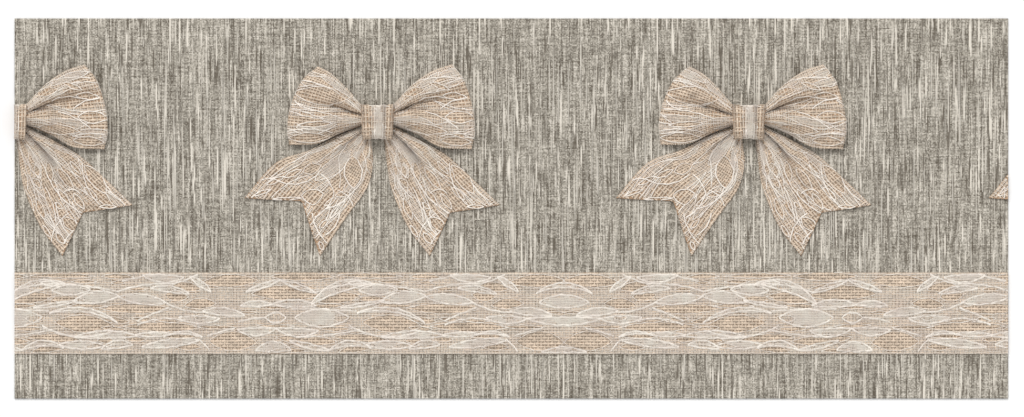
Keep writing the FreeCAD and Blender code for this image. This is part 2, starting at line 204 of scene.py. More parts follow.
class Ribbon:
    """A strip of cloth: points and normals at shares (a, b) along and across it, and its flat size in mm."""

    def __init__(self, place, length, width, rows=96, columns=64, end=None):
        a, b = np.meshgrid(np.linspace(0, 1, rows + 1), np.linspace(0, 1, columns + 1), indexing="ij")
        self.points = place(a, b)
        along_it = np.gradient(self.points, axis=0)
        across = np.gradient(self.points, axis=1)
        normals = np.cross(across, along_it)
        self.normals = normals / np.maximum(np.linalg.norm(normals, axis=-1, keepdims=True), 1e-9)
        self.length, self.width, self.rows, self.columns = length, width, rows, columns
        self.gather = np.linalg.norm(across, axis=-1, keepdims=True) * columns / width
        # crease: how far the colour is painted towards shade in the ribbon's folds
        self.steps, self.upper, self.crease = (along_it, across), 0, np.zeros((rows + 1, columns + 1, 1))
        self.end, self.start, self.reach, self.edge = end, np.zeros_like, 1.0, np.inf

    def sample(self, grid, a, b):
        """Values of a grid at shares a and b."""
        x, y = np.clip(a, 0, 1) * self.rows, np.clip(b, 0, 1) * self.columns
        i, j = np.minimum(x.astype(int), self.rows - 1), np.minimum(y.astype(int), self.columns - 1)
        f, g = (x - i)[..., None], (y - j)[..., None]
        low = grid[i, j] * (1 - g) + grid[i, j + 1] * g
        high = grid[i + 1, j] * (1 - g) + grid[i + 1, j + 1] * g
        return low * (1 - f) + high * f

    def limit(self, b):
        """Share along the ribbon where its cut end is, at shares b across it."""
        return np.ones_like(b) if self.end is None else self.end(b)

    def on(self, a, b, lift):
        """Points lifted off the ribbon, and the normals there."""
        normal = self.sample(self.normals, a, b)
        return self.sample(self.points, a, b) + normal * np.asarray(lift)[..., None], normal

    def room(self, u, v, least):
        """Share of their flat spacing that yarns along the ribbon have at (u, v) in mm, where gathered."""
        return np.clip(self.sample(self.gather, u / self.length, v / self.width)[:, 0], least, 1.1)

    def shown(self, number, u, v):
        """Room for one of many yarns, and where it shows: where gathered, most lie within the folds."""
        room = self.room(u, v, 0.1)
        every = np.where(room > 0.6, 1, np.where(room > 0.3, 2, 4))
        return np.clip(room * every, 0.5, 1.1), number % every == 0

    def find(self, x, y):
        """Shares (a, b) of the places on the upper side that are seen from above at x, y."""
        grid = self.points[self.upper:, :, :2].reshape(-1, 2)
        target = np.column_stack([x, y])
        k = np.array([np.argmin(((grid - spot) ** 2).sum(axis=1)) for spot in target])
        i, j = np.divmod(k, self.columns + 1)
        i = i + self.upper
        gap = target - self.points[i, j, :2]
        (px, py), (qx, qy) = (step[i, j, :2].T for step in self.steps)
        size = px * qy - py * qx
        size = np.where(np.abs(size) < 1e-6, 1e-6, size)
        da = np.clip((gap[:, 0] * qy - gap[:, 1] * qx) / size, -1.5, 1.5)
        db = np.clip((gap[:, 1] * px - gap[:, 0] * py) / size, -1.5, 1.5)
        return (i + da) / self.rows, (j + db) / self.columns

    def flip(self):
        """The same ribbon with its other side out."""
        self.normals = -self.normals
        return self

    def cut(self, edge):
        """The same ribbon, of which only what lies left of an edge is kept."""
        shares, across = np.linspace(0, 1, 401), np.linspace(0, 1, 201)
        a, b = np.meshgrid(shares, across, indexing="ij")
        kept = (self.sample(self.points, a, b)[..., 0] <= edge) & (a <= self.limit(b))
        first = np.where(kept.any(axis=0), shares[kept.argmax(axis=0)], 1.0)
        self.start = lambda share: np.interp(share, across, first)
        self.reach, self.edge = across[kept.any(axis=0)].max(), edge
        return self


# ---------------------------------------------------------------- Mesh helpers


def finish_mesh(name, points, faces, material=None, uv=None, edges=()):
    """A new object with that mesh, in metres, from points in millimetres."""
    mesh = bpy.data.meshes.new(name)
    mesh.from_pydata((np.asarray(points) * MM).tolist(), edges, faces)
    if uv is not None:
        layer = mesh.uv_layers.new(name="weave")
        corner = np.empty(len(mesh.loops), int)
        mesh.loops.foreach_get("vertex_index", corner)
        layer.data.foreach_set("uv", (np.asarray(uv) * MM)[corner].ravel())
    if material:
        mesh.materials.append(material)
    mesh.polygons.foreach_set("use_smooth", [True] * len(mesh.polygons))
    mesh.update()
    piece = bpy.data.objects.new(name, mesh)
    bpy.context.scene.collection.objects.link(piece)
    return piece


def quads(rows, columns, first=0, wrap=False):
    """Faces of a grid of points that is stored row by row."""
    across = columns if wrap else columns - 1
    return [
        (first + i * columns + j, first + (i + 1) * columns + j,
         first + (i + 1) * columns + (j + 1) % columns, first + i * columns + (j + 1) % columns)
        for i in range(rows - 1) for j in range(across)
    ]


def base_cloth(name, ribbon, material, rows=72, columns=40):
    """The closed base of a ribbon: two faces a small thickness apart, and its rim."""
    t, b = np.meshgrid(np.linspace(0, 1, rows), np.linspace(0, ribbon.reach, columns), indexing="ij")
    a = ribbon.start(b) + t * (ribbon.limit(b) - ribbon.start(b))
    low, _ = ribbon.on(a, b, np.zeros_like(a))
    high, _ = ribbon.on(a, b, np.full_like(a, BASE_THICKNESS))
    count = rows * columns
    top = quads(rows, columns, count)
    bottom = [face[::-1] for face in quads(rows, columns)]
    ring = [j for j in range(columns)] + [i * columns + columns - 1 for i in range(1, rows)]
    ring += [(rows - 1) * columns + j for j in range(columns - 2, -1, -1)]
    ring += [i * columns for i in range(rows - 2, 0, -1)]
    rim = [(p, q, q + count, p + count) for p, q in zip(ring, ring[1:] + ring[:1])]
    uv = np.stack([a * ribbon.length, b * ribbon.width], axis=-1).reshape(-1, 2)
    points = np.vstack([low.reshape(-1, 3), high.reshape(-1, 3)])
    piece = finish_mesh(name, points, bottom + top + rim, material, np.vstack([uv, uv]))
    right_way_out(piece)
    return piece


def right_way_out(piece):
    """Turns every face of a closed mesh outwards."""
    mesh = bmesh.new()
    mesh.from_mesh(piece.data)
    bmesh.ops.recalc_face_normals(mesh, faces=mesh.faces)
    mesh.to_mesh(piece.data)
    mesh.free()


# ---------------------------------------------------------------- Threads by Geometry Nodes


def thread_tree():
    """Turns paths into threads: an oval section that lies flat on what it follows."""
    tree = bpy.data.node_groups.new("Threads along paths", "GeometryNodeTree")
    tree.interface.new_socket("Paths", in_out="INPUT", socket_type="NodeSocketGeometry")
    for name, kind in (("Width", "NodeSocketFloat"), ("Height", "NodeSocketFloat"),
                       ("Sides", "NodeSocketInt"), ("Material", "NodeSocketMaterial")):
        tree.interface.new_socket(name, in_out="INPUT", socket_type=kind)
    tree.interface.new_socket("Threads", in_out="OUTPUT", socket_type="NodeSocketGeometry")
    add, link = tree.nodes.new, tree.links.new
    given, result = add("NodeGroupInput"), add("NodeGroupOutput")
    curve = add("GeometryNodeMeshToCurve")
    normal = add("GeometryNodeSetCurveNormal")
    lie = named(tree, "lie", "FLOAT_VECTOR")
    normal.mode = "FREE"
    circle = add("GeometryNodeCurvePrimitiveCircle")
    oval = add("GeometryNodeTransform")
    scale = add("ShaderNodeCombineXYZ")
    sweep, thick = add("GeometryNodeCurveToMesh"), named(tree, "thick", "FLOAT")
    join = add("GeometryNodeRealizeInstances")
    smooth = add("GeometryNodeSetShadeSmooth")
    paint = add("GeometryNodeSetMaterial")
    circle.inputs["Radius"].default_value = 0.5
    sweep.inputs["Fill Caps"].default_value = True
    link(given.outputs["Paths"], curve.inputs["Mesh"])
    link(curve.outputs["Curve"], normal.inputs["Curve"])
    link(lie.outputs["Attribute"], normal.inputs["Normal"])
    link(given.outputs["Sides"], circle.inputs["Resolution"])
    link(given.outputs["Height"], scale.inputs["X"])
    link(given.outputs["Width"], scale.inputs["Y"])
    link(circle.outputs["Curve"], oval.inputs["Geometry"])
    link(scale.outputs["Vector"], oval.inputs["Scale"])
    link(normal.outputs["Curve"], sweep.inputs["Curve"])
    link(oval.outputs["Geometry"], sweep.inputs["Profile Curve"])
    link(thick.outputs["Attribute"], sweep.inputs["Scale"])
    link(sweep.outputs["Mesh"], join.inputs["Geometry"])
    link(join.outputs["Geometry"], smooth.inputs["Geometry"])
    link(smooth.outputs["Geometry"], paint.inputs["Geometry"])
    link(given.outputs["Material"], paint.inputs["Material"])
    link(paint.outputs["Geometry"], result.inputs["Threads"])
    return tree


def named(tree, name, kind):
    """A node that reads a named attribute."""
    node = tree.nodes.new("GeometryNodeInputNamedAttribute")
    node.data_type = kind
    node.inputs["Name"].default_value = name
    return node


def set_inputs(modifier, values):
    """Sets a Geometry Nodes modifier's inputs, each by its socket's identifier."""
    for socket in modifier.node_group.interface.items_tree:
        if socket.item_type == "SOCKET" and socket.in_out == "INPUT" and socket.name in values:
            modifier[socket.identifier] = values[socket.name]


def settle(piece, name):
    """Replaces a piece by a plain mesh of what its modifiers make."""
    piece.data.update()
    graph = bpy.context.evaluated_depsgraph_get()
    mesh = bpy.data.meshes.new_from_object(piece.evaluated_get(graph))
    mesh.name = name
    old = piece.data
    piece.modifiers.clear()
    piece.data = mesh
    bpy.data.meshes.remove(old)
    return piece


def threads(name, paths, width, height, material, sides=4):
    """Threads along paths, as one mesh. A path is (points in mm, normals, thickness, how far it is painted
    towards crease shade).
    """
    paths = [path for path in paths if len(path[0]) > 1]
    points = np.vstack([path[0] for path in paths])
    lie = np.vstack([path[1] for path in paths])
    thick, crease = (np.concatenate([path[k] for path in paths]) for k in (2, 3))
    starts = np.cumsum([0] + [len(path[0]) for path in paths])
    edges = [(k, k + 1) for first, last in zip(starts[:-1], starts[1:]) for k in range(first, last - 1)]
    piece = finish_mesh(name, points, [], None, None, edges)
    # The crease attribute carries painted shade to the materials
    for attribute, kind, key, values in (("lie", "FLOAT_VECTOR", "vector", lie),
                                         ("thick", "FLOAT", "value", thick),
                                         ("crease", "FLOAT", "value", crease)):
        piece.data.attributes.new(attribute, kind, "POINT").data.foreach_set(key, values.ravel())
    tree = bpy.data.node_groups.get("Threads along paths") or thread_tree()
    modifier = piece.modifiers.new("Threads", "NODES")
    modifier.node_group = tree
    set_inputs(modifier, {"Width": width, "Height": height, "Sides": sides, "Material": material})
    return settle(piece, name)


def path_on(ribbon, u, v, lift, thick=1.0, keep=None):
    """Paths over a ribbon through flat places (u, v) in mm, cut where they leave it or aren't kept."""
    a, b = u / ribbon.length, v / ribbon.width
    points, normals = ribbon.on(a, b, np.broadcast_to(lift, a.shape))
    on_it = (a >= 0) & (b >= 0) & (b <= 1) & (a <= ribbon.limit(b)) & (points[:, 0] <= ribbon.edge)
    if keep is not None:
        on_it &= keep(points, a) if callable(keep) else keep
    size = np.broadcast_to(thick, a.shape)
    cuts = np.flatnonzero(np.diff(on_it.astype(int))) + 1
    pieces = np.split(np.arange(len(a)), cuts)
    # How far each point is painted towards crease shade
    crease = ribbon.sample(ribbon.crease, a, b)[:, 0]
    return [(points[k], normals[k], size[k], crease[k]) for k in pieces if on_it[k[0]] and len(k) > 1]


# ---------------------------------------------------------------- Materials


class Paint:
    """A small builder for a procedural material on Object coordinates."""

    def __init__(self, name, roughness=0.9, sheen=0.0, specular=0.2):
        self.material = bpy.data.materials.new(name)
        self.material.use_nodes = True
        self.tree = self.material.node_tree
        self.shader = self.tree.nodes["Principled BSDF"]
        self.shader.inputs["Roughness"].default_value = roughness
        self.shader.inputs["Specular IOR Level"].default_value = specular
        self.shader.inputs["Sheen Weight"].default_value = sheen
        self.shader.inputs["Sheen Roughness"].default_value = 0.6
        self.place = self.node("ShaderNodeTexCoord").outputs["Object"]

    def node(self, kind, **values):
        """A new node, with its properties set."""
        node = self.tree.nodes.new(kind)
        for key, value in values.items():
            setattr(node, key, value)
        return node

    def link(self, source, target):
        """Joins two sockets."""
        self.tree.links.new(source, target)

    def stretched(self, scale):
        """Object coordinates times a scale for each axis."""
        mapping = self.node("ShaderNodeMapping")
        mapping.inputs["Scale"].default_value = scale
        self.link(self.place, mapping.inputs["Vector"])
        return mapping.outputs["Vector"]

    def noise(self, scale, detail=3.0, rough=0.55, vector=None):
        """Noise whose grains are as long as one over the scale of each axis, in metres."""
        noise = self.node("ShaderNodeTexNoise")
        noise.inputs["Scale"].default_value = 1.0
        noise.inputs["Detail"].default_value = detail
        noise.inputs["Roughness"].default_value = rough
        self.link(vector or self.stretched(scale), noise.inputs["Vector"])
        return noise.outputs["Fac"]

    def vector(self, operation, first, second=None):
        """A sum, product or whole part of vectors."""
        node = self.node("ShaderNodeVectorMath", operation=operation)
        self.link(first, node.inputs[0])
        if isinstance(second, bpy.types.NodeSocket):
            self.link(second, node.inputs[1])
        elif second is not None:
            node.inputs[1].default_value = second
        return node.outputs["Vector"]

    def yarns(self, count, along, axis, apart=7.3):
        """Tone of parallel yarns, so many to the metre, that changes along each and from one to the next."""
        across = [0.0, 0.0, 0.0]
        across[axis] = count
        run = [0.0, 0.0, 0.0]
        run[1 - axis] = along
        number = self.vector("FLOOR", self.vector("MULTIPLY", self.place, tuple(across)))
        spread = self.vector("MULTIPLY", number, (apart, apart, 0.0))
        run_along = self.vector("MULTIPLY", self.place, tuple(run))
        return self.noise(None, 2.0, 0.6, self.vector("ADD", spread, run_along))

    def sum(self, *parts):
        """The sum of (socket, weight) pairs."""
        total = None
        for socket, weight in parts:
            node = self.node("ShaderNodeMath", operation="MULTIPLY_ADD")
            node.inputs[1].default_value = weight
            node.inputs[2].default_value = 0.0
            self.link(socket, node.inputs[0])
            if total is not None:
                self.link(total, node.inputs[2])
            total = node.outputs[0]
        return total

    def ramp(self, socket, *stops):
        """Colours along a value, from (place, colour) pairs."""
        ramp = self.node("ShaderNodeValToRGB")
        elements = ramp.color_ramp.elements
        while len(elements) < len(stops):
            elements.new(0.5)
        for element, (place, colour) in zip(elements, stops):
            element.position = place
            element.color = (*colour, 1.0)
        self.link(socket, ramp.inputs["Fac"])
        return ramp.outputs["Color"]

    def mix(self, socket, first, second):
        """Two colours, mixed by a value."""
        mix = self.node("ShaderNodeMix", data_type="RGBA")
        self.link(socket, mix.inputs["Factor"])
        for source, target in ((first, mix.inputs["A"]), (second, mix.inputs["B"])):
            if isinstance(source, bpy.types.NodeSocket):
                self.link(source, target)
            else:
                target.default_value = (*source, 1.0)
        return mix.outputs["Result"]

    def crease_shaded(self, colour, deep):
        """A colour mixed towards a darker one by the crease attribute: painted shade in the folds of a
        gathered ribbon.
        """
        crease = self.node("ShaderNodeAttribute", attribute_name="crease").outputs["Fac"]
        return self.mix(crease, colour, deep)

    def done(self, colour, height=None, relief=0.0002, strength=1.0):
        """Joins the colour, and the relief in metres, to the shader."""
        self.link(colour, self.shader.inputs["Base Color"])
        if height is not None:
            bump = self.node("ShaderNodeBump")
            bump.inputs["Distance"].default_value = relief
            bump.inputs["Strength"].default_value = strength
            self.link(height, bump.inputs["Height"])
            self.link(bump.outputs["Normal"], self.shader.inputs["Normal"])
        return self.material


def shaded(colour, factor):
    """A colour made darker or lighter."""
    return tuple(min(1.0, part * factor) for part in colour)


def slub_cloth_material(cloth):
    """Yarns across the runner, each with its own lights and darks, woven with finer thread along it."""
    paint = Paint("Slub cloth", roughness=0.95, sheen=0.1)
    weft = paint.yarns(980.0, 20.0, 0)
    twin = paint.yarns(470.0, 14.0, 0, 5.7)
    warp = paint.yarns(950.0, 45.0, 1)
    grain = paint.noise((850.0, 850.0, 1.0), 1.0)
    patch = paint.noise((30.0, 36.0, 1.0), 2.0)
    stitch = paint.node("ShaderNodeTexWhiteNoise", noise_dimensions="2D")
    crossing = paint.vector("FLOOR", paint.vector("MULTIPLY", paint.place, (980.0, 950.0, 0.0)))
    paint.link(crossing, stitch.inputs["Vector"])
    speckle = stitch.outputs["Value"]
    tone = paint.sum((weft, 0.42), (twin, 0.1), (warp, 0.22), (grain, 0.14), (patch, 0.06), (speckle, 0.13))
    colour = paint.ramp(tone, (0.425, tuple(cloth.dark)), (0.51, shaded(cloth.middle, 0.8)),
                        (0.565, shaded(cloth.middle, 1.2)), (0.66, tuple(cloth.pale)))
    light = paint.yarns(800.0, 15.0, 0, 3.1)
    deep = paint.yarns(760.0, 19.0, 0, 9.1)
    pale_lines = paint.ramp(light, (0.6, (0.0,) * 3), (0.66, (0.95,) * 3))
    colour = paint.mix(pale_lines, colour, shaded(cloth.pale, 1.12))
    colour = paint.mix(paint.ramp(deep, (0.35, (0.85,) * 3), (0.41, (0.0,) * 3)), colour, tuple(cloth.dark))
    return paint.done(colour, paint.sum((weft, 0.5), (grain, 0.3), (warp, 0.35)), 0.0004)


def slub_yarn_material(cloth):
    """Raised slubs, from dark to palest by their own tone."""
    paint = Paint("Slub yarn", roughness=0.95, sheen=0.15)
    tone = paint.node("ShaderNodeAttribute", attribute_name="tone").outputs["Fac"]
    grain = paint.noise((900.0, 900.0, 900.0), 2.0)
    value = paint.sum((tone, 0.62), (grain, 0.55))
    colour = paint.ramp(value, (0.2, shaded(cloth.dark, 1.1)), (0.38, shaded(cloth.middle, 0.9)),
                        (0.52, shaded(cloth.pale, 0.8)), (0.9, shaded(cloth.pale, 1.15)))
    return paint.done(colour, grain, 0.0002)


def jute_material(name, ribbon, tint):
    """Coarse jute fibre with paler and browner lengths."""
    paint = Paint(name, roughness=0.92, sheen=0.1)
    fibre = paint.noise((1900.0, 1900.0, 1900.0), 3.0, 0.6)
    lengths = paint.noise((120.0, 260.0, 200.0), 2.0, 0.5)
    value = paint.sum((fibre, 0.45), (lengths, 0.55))
    colour = paint.ramp(value, (0.34, shaded(ribbon.yarn, 0.62 * tint)), (0.5, shaded(ribbon.yarn, tint)),
                        (0.66, shaded(ribbon.yarn, 1.3 * tint)))
    # Painted shade: the jute goes darker where the crease attribute marks a fold
    return paint.done(paint.crease_shaded(colour, CREASE_SHADE), fibre, 0.00025)


def painted_jute_shade_material(ribbon):
    """The dark base cloth that shows between the jute yarns, in painted shade."""
    paint = Paint("Painted jute shade", roughness=1.0)
    fibre = paint.noise((900.0, 900.0, 900.0), 3.0)
    colour = paint.ramp(fibre, (0.35, shaded(ribbon.shade, 0.75)), (0.65, shaded(ribbon.shade, 1.5)))
    return paint.done(colour, fibre, 0.0002)


def thread_material(name, colour, fibre_scale=2600.0, sheen=0.25):
    """Spun thread: one colour with fine lighter and darker fibres."""
    paint = Paint(name, roughness=0.85, sheen=sheen)
    fibre = paint.noise((fibre_scale,) * 3, 2.0)
    broad = paint.noise((60.0, 60.0, 60.0), 1.0)
    value = paint.sum((fibre, 0.6), (broad, 0.4))
    colour = paint.ramp(value, (0.35, shaded(colour, 0.84)), (0.65, shaded(colour, 1.1)))
    # Painted shade: the thread goes darker where the crease attribute marks a fold
    return paint.done(paint.crease_shaded(colour, CREASE_SHADE), fibre, 0.0001)


def floor_material(studio):
    """A pale, even floor with the faintest unevenness."""
    paint = Paint("Studio floor", roughness=1.0, specular=0.0)
    tone = paint.noise((3.0, 3.0, 3.0), 1.0)
    return paint.done(paint.ramp(tone, (0.3, shaded(studio.floor, 0.995)), (0.7, tuple(studio.floor))))


def materials():
    """Every material of the runner, made once."""
    scene = bpy.context.scene
    cloth, ribbon, lace = scene.runner_cloth, scene.runner_ribbon, scene.runner_lace
    makers = {
        "Slub cloth": lambda: slub_cloth_material(cloth),
        "Slub yarn": lambda: slub_yarn_material(cloth),
        "Jute weft": lambda: jute_material("Jute weft", ribbon, 1.0),
        "Jute warp": lambda: jute_material("Jute warp", ribbon, 1.08),
        "Painted jute shade": lambda: painted_jute_shade_material(ribbon),
        "Lace cord": lambda: thread_material("Lace cord", lace.cord),
        "Lace net": lambda: thread_material("Lace net", lace.net),
        "Sewing thread": lambda: thread_material("Sewing thread", (0.55, 0.5, 0.42)),
    }
    for name, make in makers.items():
        if name not in bpy.data.materials:
            make()
    return bpy.data.materials


# ---------------------------------------------------------------- Weave and lace on a ribbon


def weave(name, ribbon, settings, seed, fullness=1.0):
    """The jute yarns of a ribbon, over and under each other: the weft along it and the warp across it."""
    rng = np.random.RandomState(seed)
    weft_pitch, warp_pitch = settings.weft_pitch / MM, settings.warp_pitch / MM
    rows, columns = int(round(ribbon.width / weft_pitch)), int(round(ribbon.length / warp_pitch))
    row_pitch, column_pitch = ribbon.width / rows, ribbon.length / columns
    weft, warp = [], []
    for k in range(rows):
        u = np.arange(0.0, ribbon.length + 0.01, column_pitch / 2.0)
        v = (k + 0.5) * row_pitch + 0.25 * ripple(u, np.full_like(u, 31.0 * k), 60.0, seed)
        wave = np.cos(math.pi * (u / column_pitch - 0.5 + k))
        thick = np.clip(1.0 + 0.13 * wave + 0.13 * rng.standard_normal(len(u)), 0.7, 1.4)
        room, shown = ribbon.shown(k, u, v)
        weft += path_on(ribbon, u, v, YARN_LIFT + 0.24 * wave, thick * room, shown)
    for m in range(columns):
        v = np.arange(0.0, ribbon.width + 0.01, row_pitch / 2.0)
        u = (m + 0.5) * column_pitch + 0.3 * ripple(v, np.full_like(v, 17.0 * m), 40.0, seed + 1)
        wave = np.cos(math.pi * (v / row_pitch - 0.5 + m))
        thick = np.clip(1.0 + 0.16 * rng.standard_normal(len(v)), 0.7, 1.4)
        warp += path_on(ribbon, u, v, YARN_LIFT - 0.24 * wave, thick)
    paints = materials()
    return [
        threads(name + "_weft", weft, 2.45 * fullness * MM, 0.5 * MM, paints["Jute weft"]),
        threads(name + "_warp", warp, (0.4 + 1.3 * fullness) * MM, 0.45 * MM, paints["Jute warp"]),
    ]


# Shapes of the lace. A leaf has two ends, and how far its left and its right edge bulge on the way from the
# first to the second. Places are from the start of the pattern and from the ribbon's middle line.
PATTERN = 283.0
PATTERN_START = 234.5
LEAVES = [
    (-15, 7, 14, 8, 4, 1), (14, 8, 55, 7, 5, 1.5), (-10, 20, 22, 31, 2, 2), (22, 30, 54, 19, 2.5, 2),
    (50, 8, 107, 27, 12, -2.5), (84, 28, 101, 27, 2, 2), (94, 21, 130, 22, 5, 4.5),
    (114, 11, 156, 16, 6.5, 4), (156, 15, 199, 10, 5, 4), (77, 5, 118, 12, 1, 2),
    (92, 0, 155, -9, 9.5, -6), (115, -22, 173, -21, 5.5, 1.5), (171, -20, 205, -19, 2, 2),
    (205, -19, 233, -22, 3.5, -1.5), (35, -4, 85, -4, 8, 8.5), (18, -14, 57, -16, 1, 6.5),
    (-18, -15, 18, -14, 1, 6), (-1, -34, 32, -34, 8, 1), (30, -25, 67, -34, 1.5, 3),
    (67, -34, 105, -32, 8, -3), (101, -29, 143, -30, 4, 3.5), (140, -33, 169, -29, 6, 1),
    (177, -31, 230, -25, 4, 3), (178, 35, 216, 33, 1.5, 5.5), (185, 23, 221, 18, 4.5, 1),
    (221, 34, 241, 20, 3, 2), (211, -4, 249, -5, 2, 5), (233, 2, 272, -2, 5, 2), (8, -4, 27, -4, 5, 5),
]
# Cords that run alone: from one point to another, and how far they bulge towards the back
CORDS = [
    (32, 4, 92, 2, 0.5), (173, -11, 215, -7, 4), (173, -7, 202, 5, 0.5), (199, 10, 235, 1, -2.5),
    (107, 27, 155, 20, 1), (155, 20, 204, 27, 2.5), (159, 30, 185, 37, -1), (204, 27, 229, 36, -1),
    (-17, -8, 8, -4, 1), (237, -21, 263, -14, 0.5), (230, -24, 240, -35, 0.5), (36, -22, 95, -15, -1.5),
    (85, -11, 151, -16, -8), (54, 19, 107, 27, 3),
]
# Leaves that lie across the seam, where the pattern turns back on itself
SEAM_LEAVES = [(260, 10, 306, 10, 7, 5), (249, -5, 317, -5, 1.5, 6), (257, 18, 309, 18, 10, -6),
               (262, -36, 304, -36, 5, 0)]
# Gaps where no net covers the jute
GAPS = [
    (12, 34, 72, 34, 4, 4), (25, 29, 58, 22, 2, 2), (-5, 18, 58, 16, 9, 5), (0, 6, 30, 5, 1.2, 1.5),
    (57, 10, 97, 15, 7, 3), (90, 14, 125, 12, 3, 3.5), (50, 6, 80, 7, 2.5, 2), (72, 23, 101, 27, 4.5, 2.5),
    (74, 35, 135, 34, 2.5, 2), (112, 29, 136, 29, 1.8, 1.5), (120, 24, 143, 21, 1.3, 1.5),
    (108, 6, 146, 6, 3.5, 1), (97, -8, 152, -12, 8.5, 8), (70, -5, 88, -4, 3, 4),
    (0, -11, 35, -12, 1.5, 1.8), (56, -13, 88, -14, 1, 3), (18, -22, 74, -26, 4, 6),
    (70, -22, 122, -25, 4.5, 3), (10, -36, 46, -35, 4, 1), (75, -36, 106, -32, 5, 2),
    (124, -31, 150, -29, 2.5, 2), (149, 28, 162, 28, 2, 1.5), (163, 23, 181, 22, 2, 2),
    (138, 5, 205, 4, 4.5, 5), (198, 17, 220, 15, 5, 5), (216, 7, 246, 9, 6, 4), (203, 24, 232, 22, 6, 3),
    (232, 28, 284, 30, 7, 5), (140, -5, 166, -8, 3, 3), (160, -12, 232, -13, 4.5, 4.5),
    (225, -12, 264, -13, 1.5, 2), (168, -5, 190, -7, 2.5, 2), (190, -6, 215, -7, 2, 2),
    (140, -13, 162, -15, 2, 3), (136, -25, 152, -25, 3, 2.5), (161, -23, 181, -24, 2, 3),
    (197, -22, 231, -21, 2.5, 1.5), (208, -31, 232, -31, 4, 3), (239, -26, 283, -27, 10, 8),
    (144, -31, 166, -30, 1.5, 1.5), (268, 1, 283, 1, 1, 1.5), (140, 34, 170, 33, 3, 2),
    (225, -4, 238, -4, 3, 2.5), (8, -4, 27, -4, 4, 4),
]


def arc(x0, y0, x1, y1, bulge, step=2.2):
    """Points from one place to another along a line that bulges to its left, with the cord's small waves."""
    length = math.hypot(x1 - x0, y1 - y0)
    p = np.linspace(0.0, 1.0, max(5, int(length / step) + 1))
    wave = 0.3 * np.sin(2.0 * math.pi * p * max(1, round(length / 11.0)) + x0 + y1)
    off = bulge * np.sin(math.pi * p) ** 0.8 + wave * np.sin(math.pi * p)
    return x0 + (x1 - x0) * p - (y1 - y0) / length * off, y0 + (y1 - y0) * p + (x1 - x0) / length * off


def in_leaf(leaf, x, y, margin=0.0):
    """Whether places lie in a leaf."""
    x0, y0, x1, y1, left, right = leaf[:6]
    length = math.hypot(x1 - x0, y1 - y0)
    p = ((x - x0) * (x1 - x0) + (y - y0) * (y1 - y0)) / length**2
    off = ((y - y0) * (x1 - x0) - (x - x0) * (y1 - y0)) / length
    swell = np.sin(math.pi * np.clip(p, 0.0, 1.0)) ** 0.8
    return (p > 0) & (p < 1) & (off < left * swell + margin) & (off > -right * swell - margin)


